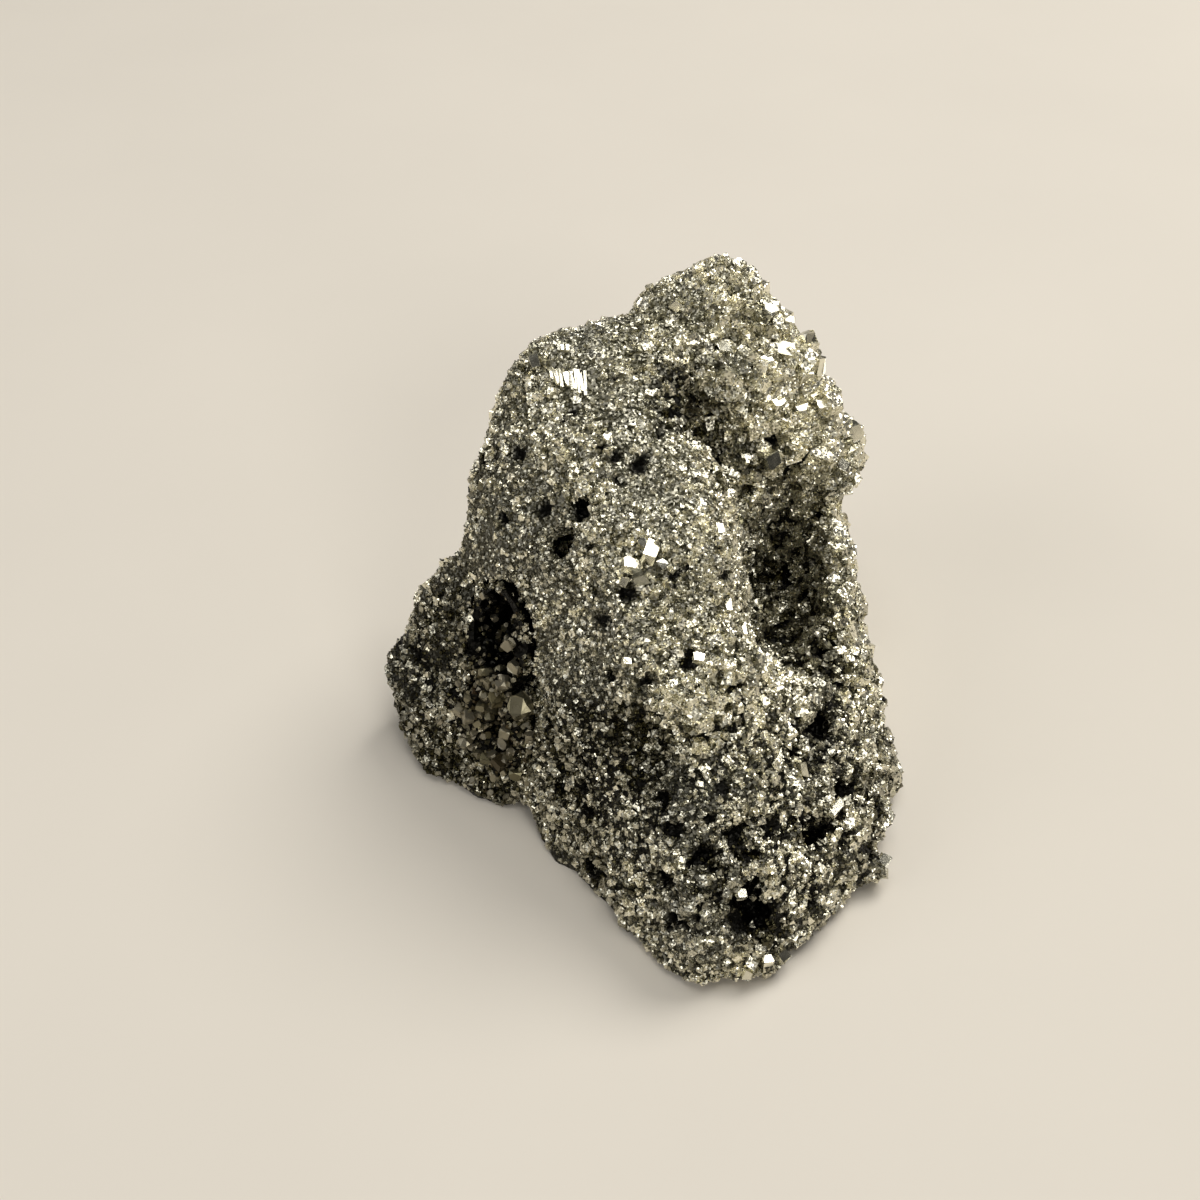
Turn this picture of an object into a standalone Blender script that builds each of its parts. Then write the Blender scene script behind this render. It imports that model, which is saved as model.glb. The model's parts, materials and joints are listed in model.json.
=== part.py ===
"""A pyrite specimen: a broken lump of fine-grained pyrite with a crystal-lined vug, a long hollow and pits.

Blender 4.5, metres, +Z up. The origin is the middle of the specimen's box, on the surface it lies on.
All the sizes below are millimetres. +X is to the right and +Y to the back, seen from the front.
"""

import math
import random

import bmesh
import bpy
from mathutils import Euler, Matrix, Vector, noise
from mathutils.bvhtree import BVHTree

MM = 0.001

# The main lumps: each is the convex hull of its corners, given as (x, y, height).
LUMPS = {
    "core": [
        (-24, -4, 0), (-10, -16, 0), (4, -36, 0), (34, -26, 0), (41, 2, 0), (38, 34, 0), (8, 42, 0),
        (-18, 30, 0), (-20, 6, 28), (-6, -12, 24), (24, -20, 14), (37, -4, 12), (36, 26, 20), (10, 38, 44),
        (-12, 26, 46),
    ],
    "head": [
        (-21, 6, 34), (-19, 11, 46), (-11, 22, 59), (0, 22, 62), (12, 22, 61), (5, 8, 58), (-2, -4, 50),
        (-11, -3, 40), (12, 6, 52), (14, 38, 56), (-10, 36, 50), (-16, 24, 30), (14, 44, 30),
    ],
    "horn": [
        (13, 31, 67), (17, 32, 69), (21, 30, 67), (11, 25, 62), (4, 30, 61), (25, 27, 61), (18, 46, 52),
        (29, 38, 50), (6, 42, 50), (24, 22, 56), (13, 22, 60),
    ],
    "shoulder": [
        (25, 27, 60), (29, 26, 56), (33, 24, 50), (38, 25, 41), (41, 29, 34), (38, 42, 24), (28, 46, 26),
        (39, 20, 33), (30, 19, 44), (21, 17, 52), (24, 42, 50), (35, 20, 40), (30, 16, 38),
    ],
    "back": [
        (14, 20, 50), (24, 18, 40), (33, 22, 34), (30, 30, 52), (38, 34, 24), (32, 46, 12), (8, 48, 20),
        (10, 44, 46), (24, 10, 24), (14, 10, 30), (38, 36, 0), (10, 46, 0), (28, 36, 52), (22, 14, 44),
    ],
    "right_rim": [
        (35, 19, 37), (34, 10, 31), (35, 0, 26), (37, -8, 21), (39, -13, 15), (38, 22, 26), (39, 9, 19),
        (41, -2, 13), (43, -12, 9), (44, -14, 2), (40, 8, 0), (38, 32, 0), (31, 17, 30), (31, 4, 24),
        (31, -8, 22), (28, 2, 4), (30, 30, 10), (34, 28, 30),
    ],
    "left_wing": [
        (-32, -1, 8), (-33, 5, 13), (-28, 9, 24), (-21, 8, 34), (-32, 8, 3), (-26, -8, 1), (-20, -12, 1),
        (-12, -15, 1), (-22, -6, 17), (-12, -10, 24), (-8, 0, 34), (-24, 16, 20), (-27, -5, 10),
    ],
    "wing_root": [
        (-20, 5, 33), (-8, -4, 37), (-8, 0, 42), (-10, -9, 26), (-6, -16, 24), (-16, -4, 28), (-12, 6, 40),
        (-4, -12, 34), (-10, 6, 20), (-11, -3, 41), (-6, -6, 43), (-2, -10, 40),
    ],
    "left_flank": [
        (-11, -15, 0), (-6, -21, 1), (-3, -27, 1), (3, -33, 1), (-10, -15, 12), (-6, -21, 10), (-2, -27, 10),
        (3, -33, 12), (-8, -12, 30), (-3, -23, 22), (1, -25, 24), (5, -20, 30), (-4, -10, 36),
    ],
    "ridge": [
        (-2, -4, 50), (5, 6, 57), (12, 2, 54), (16, -8, 47), (19, -15, 38), (18, -26, 30), (8, -26, 29),
        (-2, -24, 20), (-6, -16, 24), (-8, -8, 32), (22, -12, 31), (17, 4, 45), (21, -31, 20), (4, -20, 38),
        (20, 10, 40), (16, 12, 50),
    ],
    "bridge": [
        (12, 20, 60), (19, 18, 57), (25, 22, 57), (20, 28, 62), (12, 28, 62), (15, 17, 48), (24, 16, 45),
        (12, 28, 44), (24, 28, 44), (20, 14, 46),
    ],
    "saddle": [
        (22, -12, 30), (32, -10, 25), (38, -8, 16), (34, -20, 18), (24, -30, 18), (20, -20, 29),
        (30, -16, 24), (38, -20, 9), (30, 0, 14), (42, -14, 11), (43, -16, 4),
    ],
    "nose": [
        (1, -35, 2), (5, -40, 1), (9, -44, 1), (13, -47, 2), (20, -46, 2), (28, -40, 1), (36, -31, 1),
        (1, -32, 12), (12, -43, 14), (22, -39, 15), (32, -29, 14), (38, -20, 10), (18, -27, 28),
        (31, -18, 20), (5, -27, 24), (43, -18, 2), (42, -20, 8),
    ],
    "foot": [
        (37, -29, 0), (39, -30, 1), (40, -26, 3), (37, -28, 5), (34, -26, 0), (41, -22, 0), (38, -22, 7),
    ],
}

# Wide hollows, cut before the edges are rounded: (middle, radii, turn in degrees).
HOLLOWS = {
    "long_hollow": ((27.5, 6, 30), (5, 16, 14), (-16, 0, -4)),
    "upper_hollow": ((14, 15, 50), (3.2, 5, 4.5), (0, 0, 0)),
    "valley": ((22, 10, 51), (4, 5, 5), (0, 0, 20)),
    "ledge": ((-24, -6, 33.5), (8, 8, 4), (0, 20, 0)),
    "crest_crease": ((8, -28, 27), (2, 5, 7), (35, 20, 30)),
    "notch": ((-11, -16, 0), (2, 4, 4), (0, 0, 0)),
}

# Open pits, each pressed into the skin nearest to its place: (place, width, height, depth).
PITS = [
    ((-3, -3, 49), 3, 3.6, 3), ((-8, 0, 47), 2.4, 2, 2), ((2, 2, 54), 2, 1.8, 2),
    ((5.5, 1, 54), 3.4, 1.8, 1.6), ((-4, 10, 56), 2, 2, 1.6), ((-11, 8, 50), 1.8, 2.4, 1.8),
    ((0, -14, 39), 1.8, 3.6, 2.4), ((4, -13, 43), 2, 2.6, 2), ((10, -11, 44), 2, 1.6, 1.6),
    ((16, -10, 44), 1.8, 2.4, 1.8), ((6, -22, 35), 2, 1.6, 1.6), ((12, -20, 37), 2.6, 2, 1.6),
    ((25, 17, 46), 3, 2.4, 2.6), ((30, 18, 42), 3, 3, 3), ((31, -17, 22), 4, 3.4, 3),
    ((34, -23, 15), 3.4, 3, 3), ((31, -29, 14), 4.6, 5.4, 5), ((18, -35, 20), 3, 2.4, 2.4),
    ((23, -33, 18), 2.4, 2.4, 2.4), ((10, -34, 20), 2.4, 2.4, 2), ((13, -37, 18), 3.4, 2, 2.6),
    ((7, -38, 14), 1.8, 4.4, 4), ((20, -40, 14), 5.4, 2.4, 4.4), ((20, -41, 10), 3.4, 5.2, 4.6),
    ((9, -41, 10), 2, 2.4, 2), ((-4, -18, 16), 2, 2.4, 2), ((16, -31, 25), 2.2, 2, 2),
    ((-22, -6, 17), 2, 1.8, 1.6),
]

# The vug in the left wing, a deep pocket above and a shallow scoop below it: (middle, radii, turn).
VUG = [
    ((-14, -4.5, 27), (6, 10, 9), (-30, 0, -8)),
    ((-15, -11, 14), (6.8, 6.2, 9.5), (-14, 0, -6)),
]
VUG_GAP = 0.5
VUG_BULGE = 1
VUG_BULGE_SIZE = 7
VUG_BULGE_SEED = 4
CRYSTAL_INSET = 0.1
CRUST = 1.3
MOUTH_SIDE = (-0.4, -0.75, 0.5)
CRUST_CRYSTALS = 26
CRUST_CRYSTAL_EDGE = (2.4, 4.2)
CRUST_CRYSTAL_SPACING = 2.4

# Crystals that stand out on the skin: (place, edge).
LARGE_CRYSTALS = [
    ((4, -11, 46), 2.4), ((8, -8, 47), 2.6), ((-6, 19, 59), 3.6), ((20, 13, 44), 2.6), ((26, 13, 42), 3.2),
    ((27, 27, 60), 3.4), ((31, 25, 55), 3.8), ((34, 24, 48), 3.4), ((38, 24, 41), 3.6), ((26, 22, 55), 3),
    ((39, -27, 4), 3), ((43, -3, 12), 3), ((24, -44, 3), 2.6), ((36, 20, 36), 3.2),
]

VOXEL = 0.8
SWELLS = [(11, 1.1), (5, 0.8), (2.6, 0.4)]
SKIN_TRIANGLES = 5000
SMALL_CRYSTALS = 60
SMALL_CRYSTAL_EDGE = (1.8, 3.2)
CRYSTAL_DEPTH = 0.2
CRYSTAL_SPACING = 5.5
BASE_CUT = 0.6


def from_bmesh(name, shape):
    """A new object in the scene that holds this bmesh."""
    mesh = bpy.data.meshes.new(name)
    shape.to_mesh(mesh)
    shape.free()
    made = bpy.data.objects.new(name, mesh)
    bpy.context.scene.collection.objects.link(made)
    return made


def settle(obj):
    """Applies the object's modifiers to its mesh."""
    graph = bpy.context.evaluated_depsgraph_get()
    mesh = bpy.data.meshes.new_from_object(obj.evaluated_get(graph))
    obj.modifiers.clear()
    obj.data = mesh


def one_skin(obj, voxel):
    remesh = obj.modifiers.new("one_skin", "REMESH")
    remesh.mode = "VOXEL"
    remesh.voxel_size = voxel * MM


def boolean(obj, other, operation, crosses_itself=False):
    cut = obj.modifiers.new(operation.lower(), "BOOLEAN")
    cut.operation = operation
    cut.solver = "EXACT"
    cut.use_self = crosses_itself
    cut.object = other


def hull(shape, corners):
    """Adds the convex hull of the corners, given in metres, to the bmesh."""
    points = [shape.verts.new(corner) for corner in corners]
    made = bmesh.ops.convex_hull(shape, input=points)
    bmesh.ops.delete(shape, geom=list(dict.fromkeys(made["geom_interior"])), context="VERTS")


def ellipsoid(shape, middle, radii, turn, shrink=0, subdivisions=3):
    """Adds an ellipsoid to the bmesh, smaller by the shrink all round."""
    place = (
        Matrix.Translation(Vector(middle) * MM)
        @ Euler([math.radians(angle) for angle in turn]).to_matrix().to_4x4()
        @ Matrix.Diagonal((*((radius - shrink) * MM for radius in radii), 1))
    )
    bmesh.ops.create_icosphere(shape, subdivisions=subdivisions, radius=1, matrix=place)


def crystal(shape, middle, edge, dice):
    """Adds a cube, or the twelve-faced form of pyrite, turned at random: middle and edge in metres."""
    turn = Euler([dice.uniform(0, math.tau) for _ in range(3)]).to_matrix()
    half = edge / 2
    points = [(x, y, z) for x in (-half, half) for y in (-half, half) for z in (-half, half)]
    if dice.random() < 0.4:
        out = half * 1.32
        width = half * 0.6
        for a in (-width, width):
            for b in (-out, out):
                points += [(0, a, b), (a, b, 0), (b, 0, a)]
    before = len(shape.verts)
    hull(shape, [middle + turn @ Vector(point) for point in points])
    shape.verts.ensure_lookup_table()
    corners = shape.verts[before:]
    edges = list(dict.fromkeys(edge for corner in corners for edge in corner.link_edges))
    bmesh.ops.dissolve_limit(shape, angle_limit=math.radians(1), verts=corners, edges=edges)


def largest_body(obj):
    """Keeps only the biggest of the closed skins in the object."""
    shape = bmesh.new()
    shape.from_mesh(obj.data)
    left = set(shape.verts)
    bodies = []
    while left:
        reached = [left.pop()]
        body = set(reached)
        while reached:
            for edge in reached.pop().link_edges:
                for vertex in edge.verts:
                    if vertex in left:
                        left.remove(vertex)
                        body.add(vertex)
                        reached.append(vertex)
        bodies.append(body)
    keep = max(bodies, key=len)
    bmesh.ops.delete(shape, geom=[v for v in shape.verts if v not in keep], context="VERTS")
    shape.to_mesh(obj.data)
    shape.free()


def rough_lump():
    """The lumps in one skin, with the hollows taken out and the edges rounded."""
    shape = bmesh.new()
    for corners in LUMPS.values():
        hull(shape, [Vector(corner) * MM for corner in corners])
    lump = from_bmesh("pyrite_mass", shape)
    shape = bmesh.new()
    for hollow in HOLLOWS.values():
        ellipsoid(shape, *hollow)
    cutter = from_bmesh("hollows", shape)
    one_skin(cutter, VOXEL)
    one_skin(lump, VOXEL)
    boolean(lump, cutter, "DIFFERENCE")
    one_skin(lump, VOXEL)
    rounding = lump.modifiers.new("rounding", "SMOOTH")
    rounding.iterations = 9
    settle(lump)
    bpy.data.objects.remove(cutter)
    return lump


def press_pits(lump):
    """Cuts the open pits, each square to the skin at its place."""
    shape = bmesh.new()
    shape.from_mesh(lump.data)
    skin = BVHTree.FromBMesh(shape)
    shape.clear()
    for place, width, height, depth in PITS:
        spot, normal, _, _ = skin.find_nearest(Vector(place) * MM)
        turn = normal.to_track_quat("Z", "Y").to_matrix().to_4x4()
        size = Matrix.Diagonal((width / 2 * MM, height / 2 * MM, depth * MM, 1))
        bmesh.ops.create_icosphere(
            shape, subdivisions=2, radius=1, matrix=Matrix.Translation(spot) @ turn @ size
        )
    cutter = from_bmesh("pits", shape)
    one_skin(cutter, VOXEL / 2)
    boolean(lump, cutter, "DIFFERENCE")
    one_skin(lump, VOXEL)
    settle(lump)
    bpy.data.objects.remove(cutter)


def swell(obj, swells):
    """Knobs and dimples of several sizes over the whole skin, each as (width, height)."""
    mesh = obj.data
    normals = [vertex.normal.copy() for vertex in mesh.vertices]
    for vertex, normal in zip(mesh.vertices, normals):
        push = 0
        for size, height in swells:
            push += height * noise.noise(vertex.co / (size * MM) + Vector((size, 0, 0)))
        vertex.co += normal * push * MM


def fewer_faces(lump):
    lump.data.calc_loop_triangles()
    fewer = lump.modifiers.new("fewer_faces", "DECIMATE")
    fewer.ratio = SKIN_TRIANGLES / len(lump.data.loop_triangles)
    fewer.use_collapse_triangulate = True
    settle(lump)


def flat_base(lump):
    """Cuts the skin level where the specimen lies on a surface."""
    side = 300 * MM
    shape = bmesh.new()
    bmesh.ops.create_cube(shape, size=side, matrix=Matrix.Translation((0, 0, BASE_CUT * MM - side / 2)))
    floor = from_bmesh("floor", shape)
    boolean(lump, floor, "DIFFERENCE")
    settle(lump)
    bpy.data.objects.remove(floor)


def vug_form(name, shrink):
    """The vug's pocket and scoop as one closed body, smaller by the shrink all round."""
    bodies = []
    for index, (middle, radii, turn) in enumerate(VUG):
        shape = bmesh.new()
        ellipsoid(shape, middle, radii, turn, shrink, 2)
        bodies.append(from_bmesh(f"{name}_{index}", shape))
    form = bodies[0]
    for other in bodies[1:]:
        boolean(form, other, "UNION")
    form.modifiers.new("triangles", "TRIANGULATE")
    settle(form)
    noise.seed_set(VUG_BULGE_SEED)
    for vertex in form.data.vertices:
        vertex.co += noise.noise_vector(vertex.co / (VUG_BULGE_SIZE * MM)) * VUG_BULGE * MM
    for other in bodies[1:]:
        bpy.data.objects.remove(other)
    return form


def line_vug(lump):
    """Cuts the vug into the lump and makes the crust of crystals that lines it."""
    dice = random.Random(7)
    crust = vug_form("vug_crystals", VUG_GAP)
    limit = vug_form("crystal_limit", VUG_GAP + CRYSTAL_INSET)
    inner = vug_form("crust_inside", VUG_GAP + CRUST)
    inner.data.transform(Matrix.Translation(Vector(MOUTH_SIDE) * MM))
    before = bpy.data.objects.new("lump_before", lump.data.copy())
    bpy.context.scene.collection.objects.link(before)

    spots = [v.co.copy() for v in inner.data.vertices if inside(before, v.co)]
    dice.shuffle(spots)
    shape = bmesh.new()
    used = []
    for spot in spots:
        edge = dice.uniform(*CRUST_CRYSTAL_EDGE) * MM
        apart = all((spot - other).length > CRUST_CRYSTAL_SPACING * MM for other in used)
        if apart and len(used) < CRUST_CRYSTALS:
            used.append(spot)
            crystal(shape, spot, edge, dice)
    crystals = from_bmesh("crystals", shape)
    boolean(crystals, limit, "INTERSECT", True)
    boolean(crust, inner, "DIFFERENCE")
    boolean(crust, crystals, "UNION")
    boolean(crust, before, "INTERSECT")
    settle(crust)
    largest_body(crust)

    vug = vug_form("vug", 0)
    boolean(lump, vug, "DIFFERENCE")
    settle(lump)
    for helper in (limit, inner, before, crystals, vug):
        bpy.data.objects.remove(helper)
    crust.name = "vug_crystals"
    return crust


def inside(obj, point):
    """Whether the point is inside the closed object."""
    _, spot, normal, _ = obj.closest_point_on_mesh(point)
    return (point - spot).dot(normal) < 0


def grow_crystals(lump):
    """Fuses flat-faced crystals to the skin: the large ones at their places, small ones scattered."""
    dice = random.Random(3)
    shape = bmesh.new()
    shape.from_mesh(lump.data)
    skin = BVHTree.FromBMesh(shape)
    faces = [face for face in shape.faces if face.calc_center_median().z > 3 * MM]
    centres = [face.calc_center_median() for face in faces]
    areas = [face.calc_area() for face in faces]
    shape.free()

    chosen = [(Vector(place) * MM, edge * MM) for place, edge in LARGE_CRYSTALS]
    target = len(chosen) + SMALL_CRYSTALS
    for spot in dice.choices(centres, weights=areas, k=60 * SMALL_CRYSTALS):
        apart = all((spot - other).length > CRYSTAL_SPACING * MM for other, _ in chosen)
        if apart and len(chosen) < target:
            chosen.append((spot, dice.uniform(*SMALL_CRYSTAL_EDGE) * MM))
    shape = bmesh.new()
    for place, edge in chosen:
        spot, normal, _, _ = skin.find_nearest(place)
        crystal(shape, spot - normal * edge * CRYSTAL_DEPTH, edge, dice)
    crystals = from_bmesh("crystals", shape)
    boolean(lump, crystals, "UNION")
    settle(lump)
    bpy.data.objects.remove(crystals)


def paint(obj, name, colour, roughness):
    material = bpy.data.materials.new(name)
    material.use_nodes = True
    surface = material.node_tree.nodes["Principled BSDF"]
    surface.inputs["Base Color"].default_value = (*colour, 1)
    surface.inputs["Roughness"].default_value = roughness
    obj.data.materials.clear()
    obj.data.materials.append(material)


def stand_at_origin(pieces):
    """Moves the pieces so that the middle of their box's bottom is at the origin, and returns the move."""
    points = [vertex.co for piece in pieces for vertex in piece.data.vertices]
    low = [min(point[axis] for point in points) for axis in range(3)]
    high = [max(point[axis] for point in points) for axis in range(3)]
    move = Vector((-(low[0] + high[0]) / 2, -(low[1] + high[1]) / 2, -low[2]))
    for piece in pieces:
        piece.data.transform(Matrix.Translation(move))
    return move


def main():
    for obj in list(bpy.data.objects):
        bpy.data.objects.remove(obj)
    lump = rough_lump()
    swell(lump, SWELLS)
    press_pits(lump)
    fewer_faces(lump)
    grow_crystals(lump)
    crust = line_vug(lump)
    flat_base(lump)
    largest_body(lump)
    paint(lump, "pyrite", (0.30, 0.28, 0.20), 0.5)
    paint(crust, "vug_pyrite", (0.16, 0.14, 0.09), 0.5)
    return stand_at_origin((lump, crust))


main()
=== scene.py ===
"""The looks of a pyrite specimen: a rough lump covered with small crystals, and a vug lined with larger ones.

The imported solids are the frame. The skin is drawn over the solid pyrite mass, grains and crystals grow on it
by Geometry Nodes, and the vug's crust gets larger flat-faced crystals. Lengths are in metres unless a name
says mm.
"""
import json
import math
import random

import bmesh
import bpy
import numpy as np
from bpy.props import FloatProperty, FloatVectorProperty, IntProperty, PointerProperty
from mathutils import Matrix, Vector, noise
from mathutils.bvhtree import BVHTree

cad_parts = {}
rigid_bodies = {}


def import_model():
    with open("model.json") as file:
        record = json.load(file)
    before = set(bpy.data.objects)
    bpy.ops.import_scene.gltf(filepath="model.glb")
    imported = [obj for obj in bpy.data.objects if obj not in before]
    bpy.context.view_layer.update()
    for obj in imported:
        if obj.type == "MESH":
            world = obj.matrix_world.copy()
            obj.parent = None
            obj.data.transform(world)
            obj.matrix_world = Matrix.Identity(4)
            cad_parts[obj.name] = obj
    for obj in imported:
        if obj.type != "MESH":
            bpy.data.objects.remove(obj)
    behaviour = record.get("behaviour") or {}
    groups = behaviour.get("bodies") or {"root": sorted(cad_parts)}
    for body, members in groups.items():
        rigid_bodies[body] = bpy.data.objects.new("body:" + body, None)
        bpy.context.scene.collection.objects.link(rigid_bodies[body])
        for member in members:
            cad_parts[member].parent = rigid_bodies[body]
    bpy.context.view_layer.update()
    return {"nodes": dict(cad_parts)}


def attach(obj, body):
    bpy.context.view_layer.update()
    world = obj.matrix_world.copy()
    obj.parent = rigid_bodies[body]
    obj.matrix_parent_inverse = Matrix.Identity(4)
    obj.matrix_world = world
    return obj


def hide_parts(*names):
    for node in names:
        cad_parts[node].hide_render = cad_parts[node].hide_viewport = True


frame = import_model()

bl_info = {
    "name": "Pyrite specimen",
    "version": (1, 0, 0),
    "blender": (4, 5, 0),
    "location": "3D View > Sidebar > Pyrite",
    "description": "Dresses the pyrite specimen with its skin, druse, crystals and a studio",
    "category": "Object",
}

MM = 0.001
MERGE_DISTANCE = 0.01 * MM
# Grains stay this far above the floor, and no piece has more triangles than this.
LEAST_HEIGHT = 0.02 * MM
PIECE_LIMIT = 200000

# Places are in millimetres from the drawing's own origin, which lies here in the frame.
DRAWING_ORIGIN_MM = np.array((-5.6, -0.7, -0.6))

# What the skin is like in each part of the lump: (place, reach, grain size, bare gaps, tarnish and painted
# shade, stout crystals, ruggedness). Places and reaches are in millimetres. The grain size is a factor, and
# the rest is about 0 for none and 1 for much. The tarnish column also holds painted shade, deeper on sides
# turned from the lamps and in the long hollow; below 0 it is painted light that makes the grains brighter than
# clean ones.
REGIONS = [
    ((17.6, 29, 66), 10, 0.95, 0.06, -0.20, 0.15, 0.35),
    ((22, 27, 62), 7, 1.20, 0.10, -0.16, 0.50, 0.4),
    ((27, 25, 56), 7, 1.50, 0.10, -0.24, 1.00, 0.4),
    ((31, 23, 50), 8, 1.60, 0.10, -0.24, 1.00, 0.5),
    ((37, 23, 39), 8, 1.40, 0.15, -0.10, 0.90, 0.6),
    ((20, 16, 49), 5, 1.45, 0.18, 0.25, 0.90, 0.7),
    ((12, 15, 54), 4.5, 1.10, 0.34, 1.15, 0.20, 0.8),
    ((9, 16, 57), 3, 1.00, 0.25, 0.75, 0.25, 0.8),
    ((19, 14, 42), 3, 1.05, 0.20, 0.45, 0.30, 0.8),
    ((26, 17, 38), 6, 1.05, 0.28, 0.70, 0.20, 0.8),
    ((28, 16, 24), 6, 1.00, 0.28, 0.76, 0.20, 0.8),
    ((29, 2, 20), 6, 1.00, 0.28, 0.76, 0.20, 0.8),
    ((36, 18, 33), 4, 1.25, 0.26, 0.24, 0.70, 0.8),
    ((38, 12, 25), 4, 1.20, 0.30, 0.38, 0.50, 0.9),
    ((37, 4, 27), 4, 1.15, 0.30, 0.38, 0.50, 0.9),
    ((38, -1, 23), 4, 1.15, 0.30, 0.40, 0.50, 0.9),
    ((39, -5, 18), 5, 1.10, 0.28, 0.46, 0.50, 1.0),
    ((28, -14, 26), 5, 0.98, 0.26, 0.28, 0.30, 1.0),
    ((-5, 18, 60), 9, 0.80, 0.08, 0.05, 0.12, 0.35),
    ((1, 23, 61), 8, 0.85, 0.08, 0.05, 0.20, 0.35),
    ((-14, 17, 53), 8, 0.66, 0.12, 0.36, 0.05, 0.3),
    ((-18, 7, 42), 9, 0.58, 0.12, 0.54, 0.03, 0.3),
    ((0, 3, 54), 7, 0.75, 0.15, 0.18, 0.10, 0.6),
    ((8, 0, 52), 5, 0.62, 0.08, 0.12, 0.10, 0.4),
    ((7, -5, 49), 6, 0.62, 0.10, 0.18, 0.08, 0.4),
    ((-11, -3, 40), 7, 0.52, 0.12, 0.56, 0.02, 0.3),
    ((0, -16, 38), 7, 0.55, 0.12, 0.50, 0.04, 0.35),
    ((11, -14, 42), 5, 0.70, 0.10, 0.15, 0.20, 0.5),
    ((-17, 2, 36), 7, 0.52, 0.15, 0.68, 0.01, 0.3),
    ((-23, 1, 25), 8, 0.62, 0.18, 0.80, 0.02, 0.4),
    ((-30, 0, 13), 9, 0.64, 0.18, 0.86, 0.03, 0.5),
    ((-22, -9, 6), 7, 0.64, 0.20, 0.88, 0.05, 0.5),
    ((13, -19, 37), 5, 0.90, 0.12, 0.22, 0.35, 0.7),
    ((17, -23, 33), 6, 0.95, 0.16, 0.26, 0.35, 0.9),
    ((0, -25, 23), 7, 0.62, 0.16, 0.86, 0.04, 0.6),
    ((-6, -23, 5), 7, 0.70, 0.22, 0.68, 0.05, 0.7),
    ((10, -33, 21), 7, 0.66, 0.25, 0.46, 0.06, 0.9),
    ((24, -30, 21), 7, 0.74, 0.28, 0.42, 0.12, 1.0),
    ((35, -19, 17), 8, 0.86, 0.30, 0.56, 0.22, 1.0),
    ((42, -12, 10), 8, 0.96, 0.30, 0.54, 0.30, 0.9),
    ((16, -44, 9), 8, 0.74, 0.26, 0.44, 0.15, 0.9),
    ((33, -32, 7), 7, 0.78, 0.28, 0.46, 0.16, 1.0),
    ((5, 40, 25), 22, 1.00, 0.15, 0.30, 0.25, 0.6),
    ((-25, 25, 20), 16, 0.80, 0.16, 0.38, 0.10, 0.5),
    ((30, 35, 15), 14, 1.10, 0.18, 0.30, 0.35, 0.7),
]
# How strongly the regions pull on places far from them all.
FAR_PULL = 1e-4

# Pits in the skin, in millimetres: (place, width, height, depth).
PITS = [
    ((-3, -3, 49), 3, 3.6, 3), ((-8, 0, 47), 2.4, 2, 2), ((2, 2, 54), 2, 1.8, 2),
    ((5.5, 1, 54), 3.4, 1.8, 1.6), ((-4, 10, 56), 2, 2, 1.6), ((-11, 8, 50), 1.8, 2.4, 1.8),
    ((0, -14, 39), 1.8, 3.6, 2.4), ((4, -13, 43), 2, 2.6, 2), ((10, -11, 44), 2, 1.6, 1.6),
    ((16, -10, 44), 1.8, 2.4, 1.8), ((6, -22, 35), 2, 1.6, 1.6), ((12, -20, 37), 2.6, 2, 1.6),
    ((25, 17, 46), 3, 2.4, 2.6), ((30, 18, 42), 3, 3, 3), ((31, -17, 22), 4, 3.4, 3),
    ((34, -23, 15), 3.4, 3, 3), ((31, -29, 14), 4.6, 5.4, 5), ((18, -35, 20), 3, 2.4, 2.4),
    ((23, -33, 18), 2.4, 2.4, 2.4), ((10, -34, 20), 2.4, 2.4, 2), ((13, -37, 18), 3.4, 2, 2.6),
    ((7, -38, 14), 1.8, 4.4, 4), ((20, -40, 14), 5.4, 2.4, 4.4), ((20, -41, 10), 3.4, 5.2, 4.6),
    ((9, -41, 10), 2, 2.4, 2), ((-4, -18, 16), 2, 2.4, 2), ((16, -31, 25), 2.2, 2, 2),
    ((-22, -6, 17), 2, 1.8, 1.6),
]
# The depths and widths above are multiplied by these. A bowl ends this many of its widths from its middle.
PIT_DEEPENING = 0.35
PIT_WIDENING = 1.2
BOWL_REACH = 1.5
# Waves that make the edges of the pits ragged: (strength, size in millimetres, seed).
PIT_RAGGED = [(0.42, 1.8, 31), (0.3, 0.9, 32)]
# The small pits: how many, how far they reach from their middle, their height and depth for their width.
SMALL_PITS = 300
SMALL_PIT_REACH_MM = (0.4, 1.15)
SMALL_PIT_STRETCH = (0.6, 1.4)
SMALL_PIT_DEPTH = 0.55
SMALL_PIT_SEED = 11
PITLESS_FOOT_MM = 3

# The skin's knobs: (size of the pattern, height in a rugged part, share of that height in a smooth part).
KNOBS_MM = [(11.0, 0.9, 0.8), (5.5, 0.7, 0.45), (2.4, 0.55, 0.3)]
# Domes on the skin: (size, height) in millimetres, and how deep the dips between them are for that height.
DOMES_MM = [(4.6, 0.6), (2.8, 0.5)]
DOME_DIP = -0.5
# How much of the domes' height parts of these two ruggednesses have, and how much the drift changes it.
SMOOTH_TO_RUGGED = (0.3, 1)
DOME_SHARE = (0.02, 0.95)
DOME_DRIFT = 1.2
DOME_RANGE = (0.3, 1.6)
# Slow and quick changes over the skin: (size in millimetres, seed).
DRIFT = (9, 21)
SPECK = (3, 22)
# Rounds of easing: the first few take the remesh's steps away, the many leave the lump's broad form alone.
SKIN_ROUNDS = 2
BROAD_ROUNDS = 40
# The skin lies this far inside the solid, whose faces the grains then reach.
SKIN_SHRINK_MM = 0.55
# Heights above the floor: the skin is flat below the first, has grains from the second and stout crystals
# from the third, and its full relief from the last.
FLAT_FOOT_MM = 0.35
GRAINLESS_FOOT_MM = 0.9
STOUTLESS_FOOT_MM = 2.2
FULL_RELIEF_MM = 3
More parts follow.
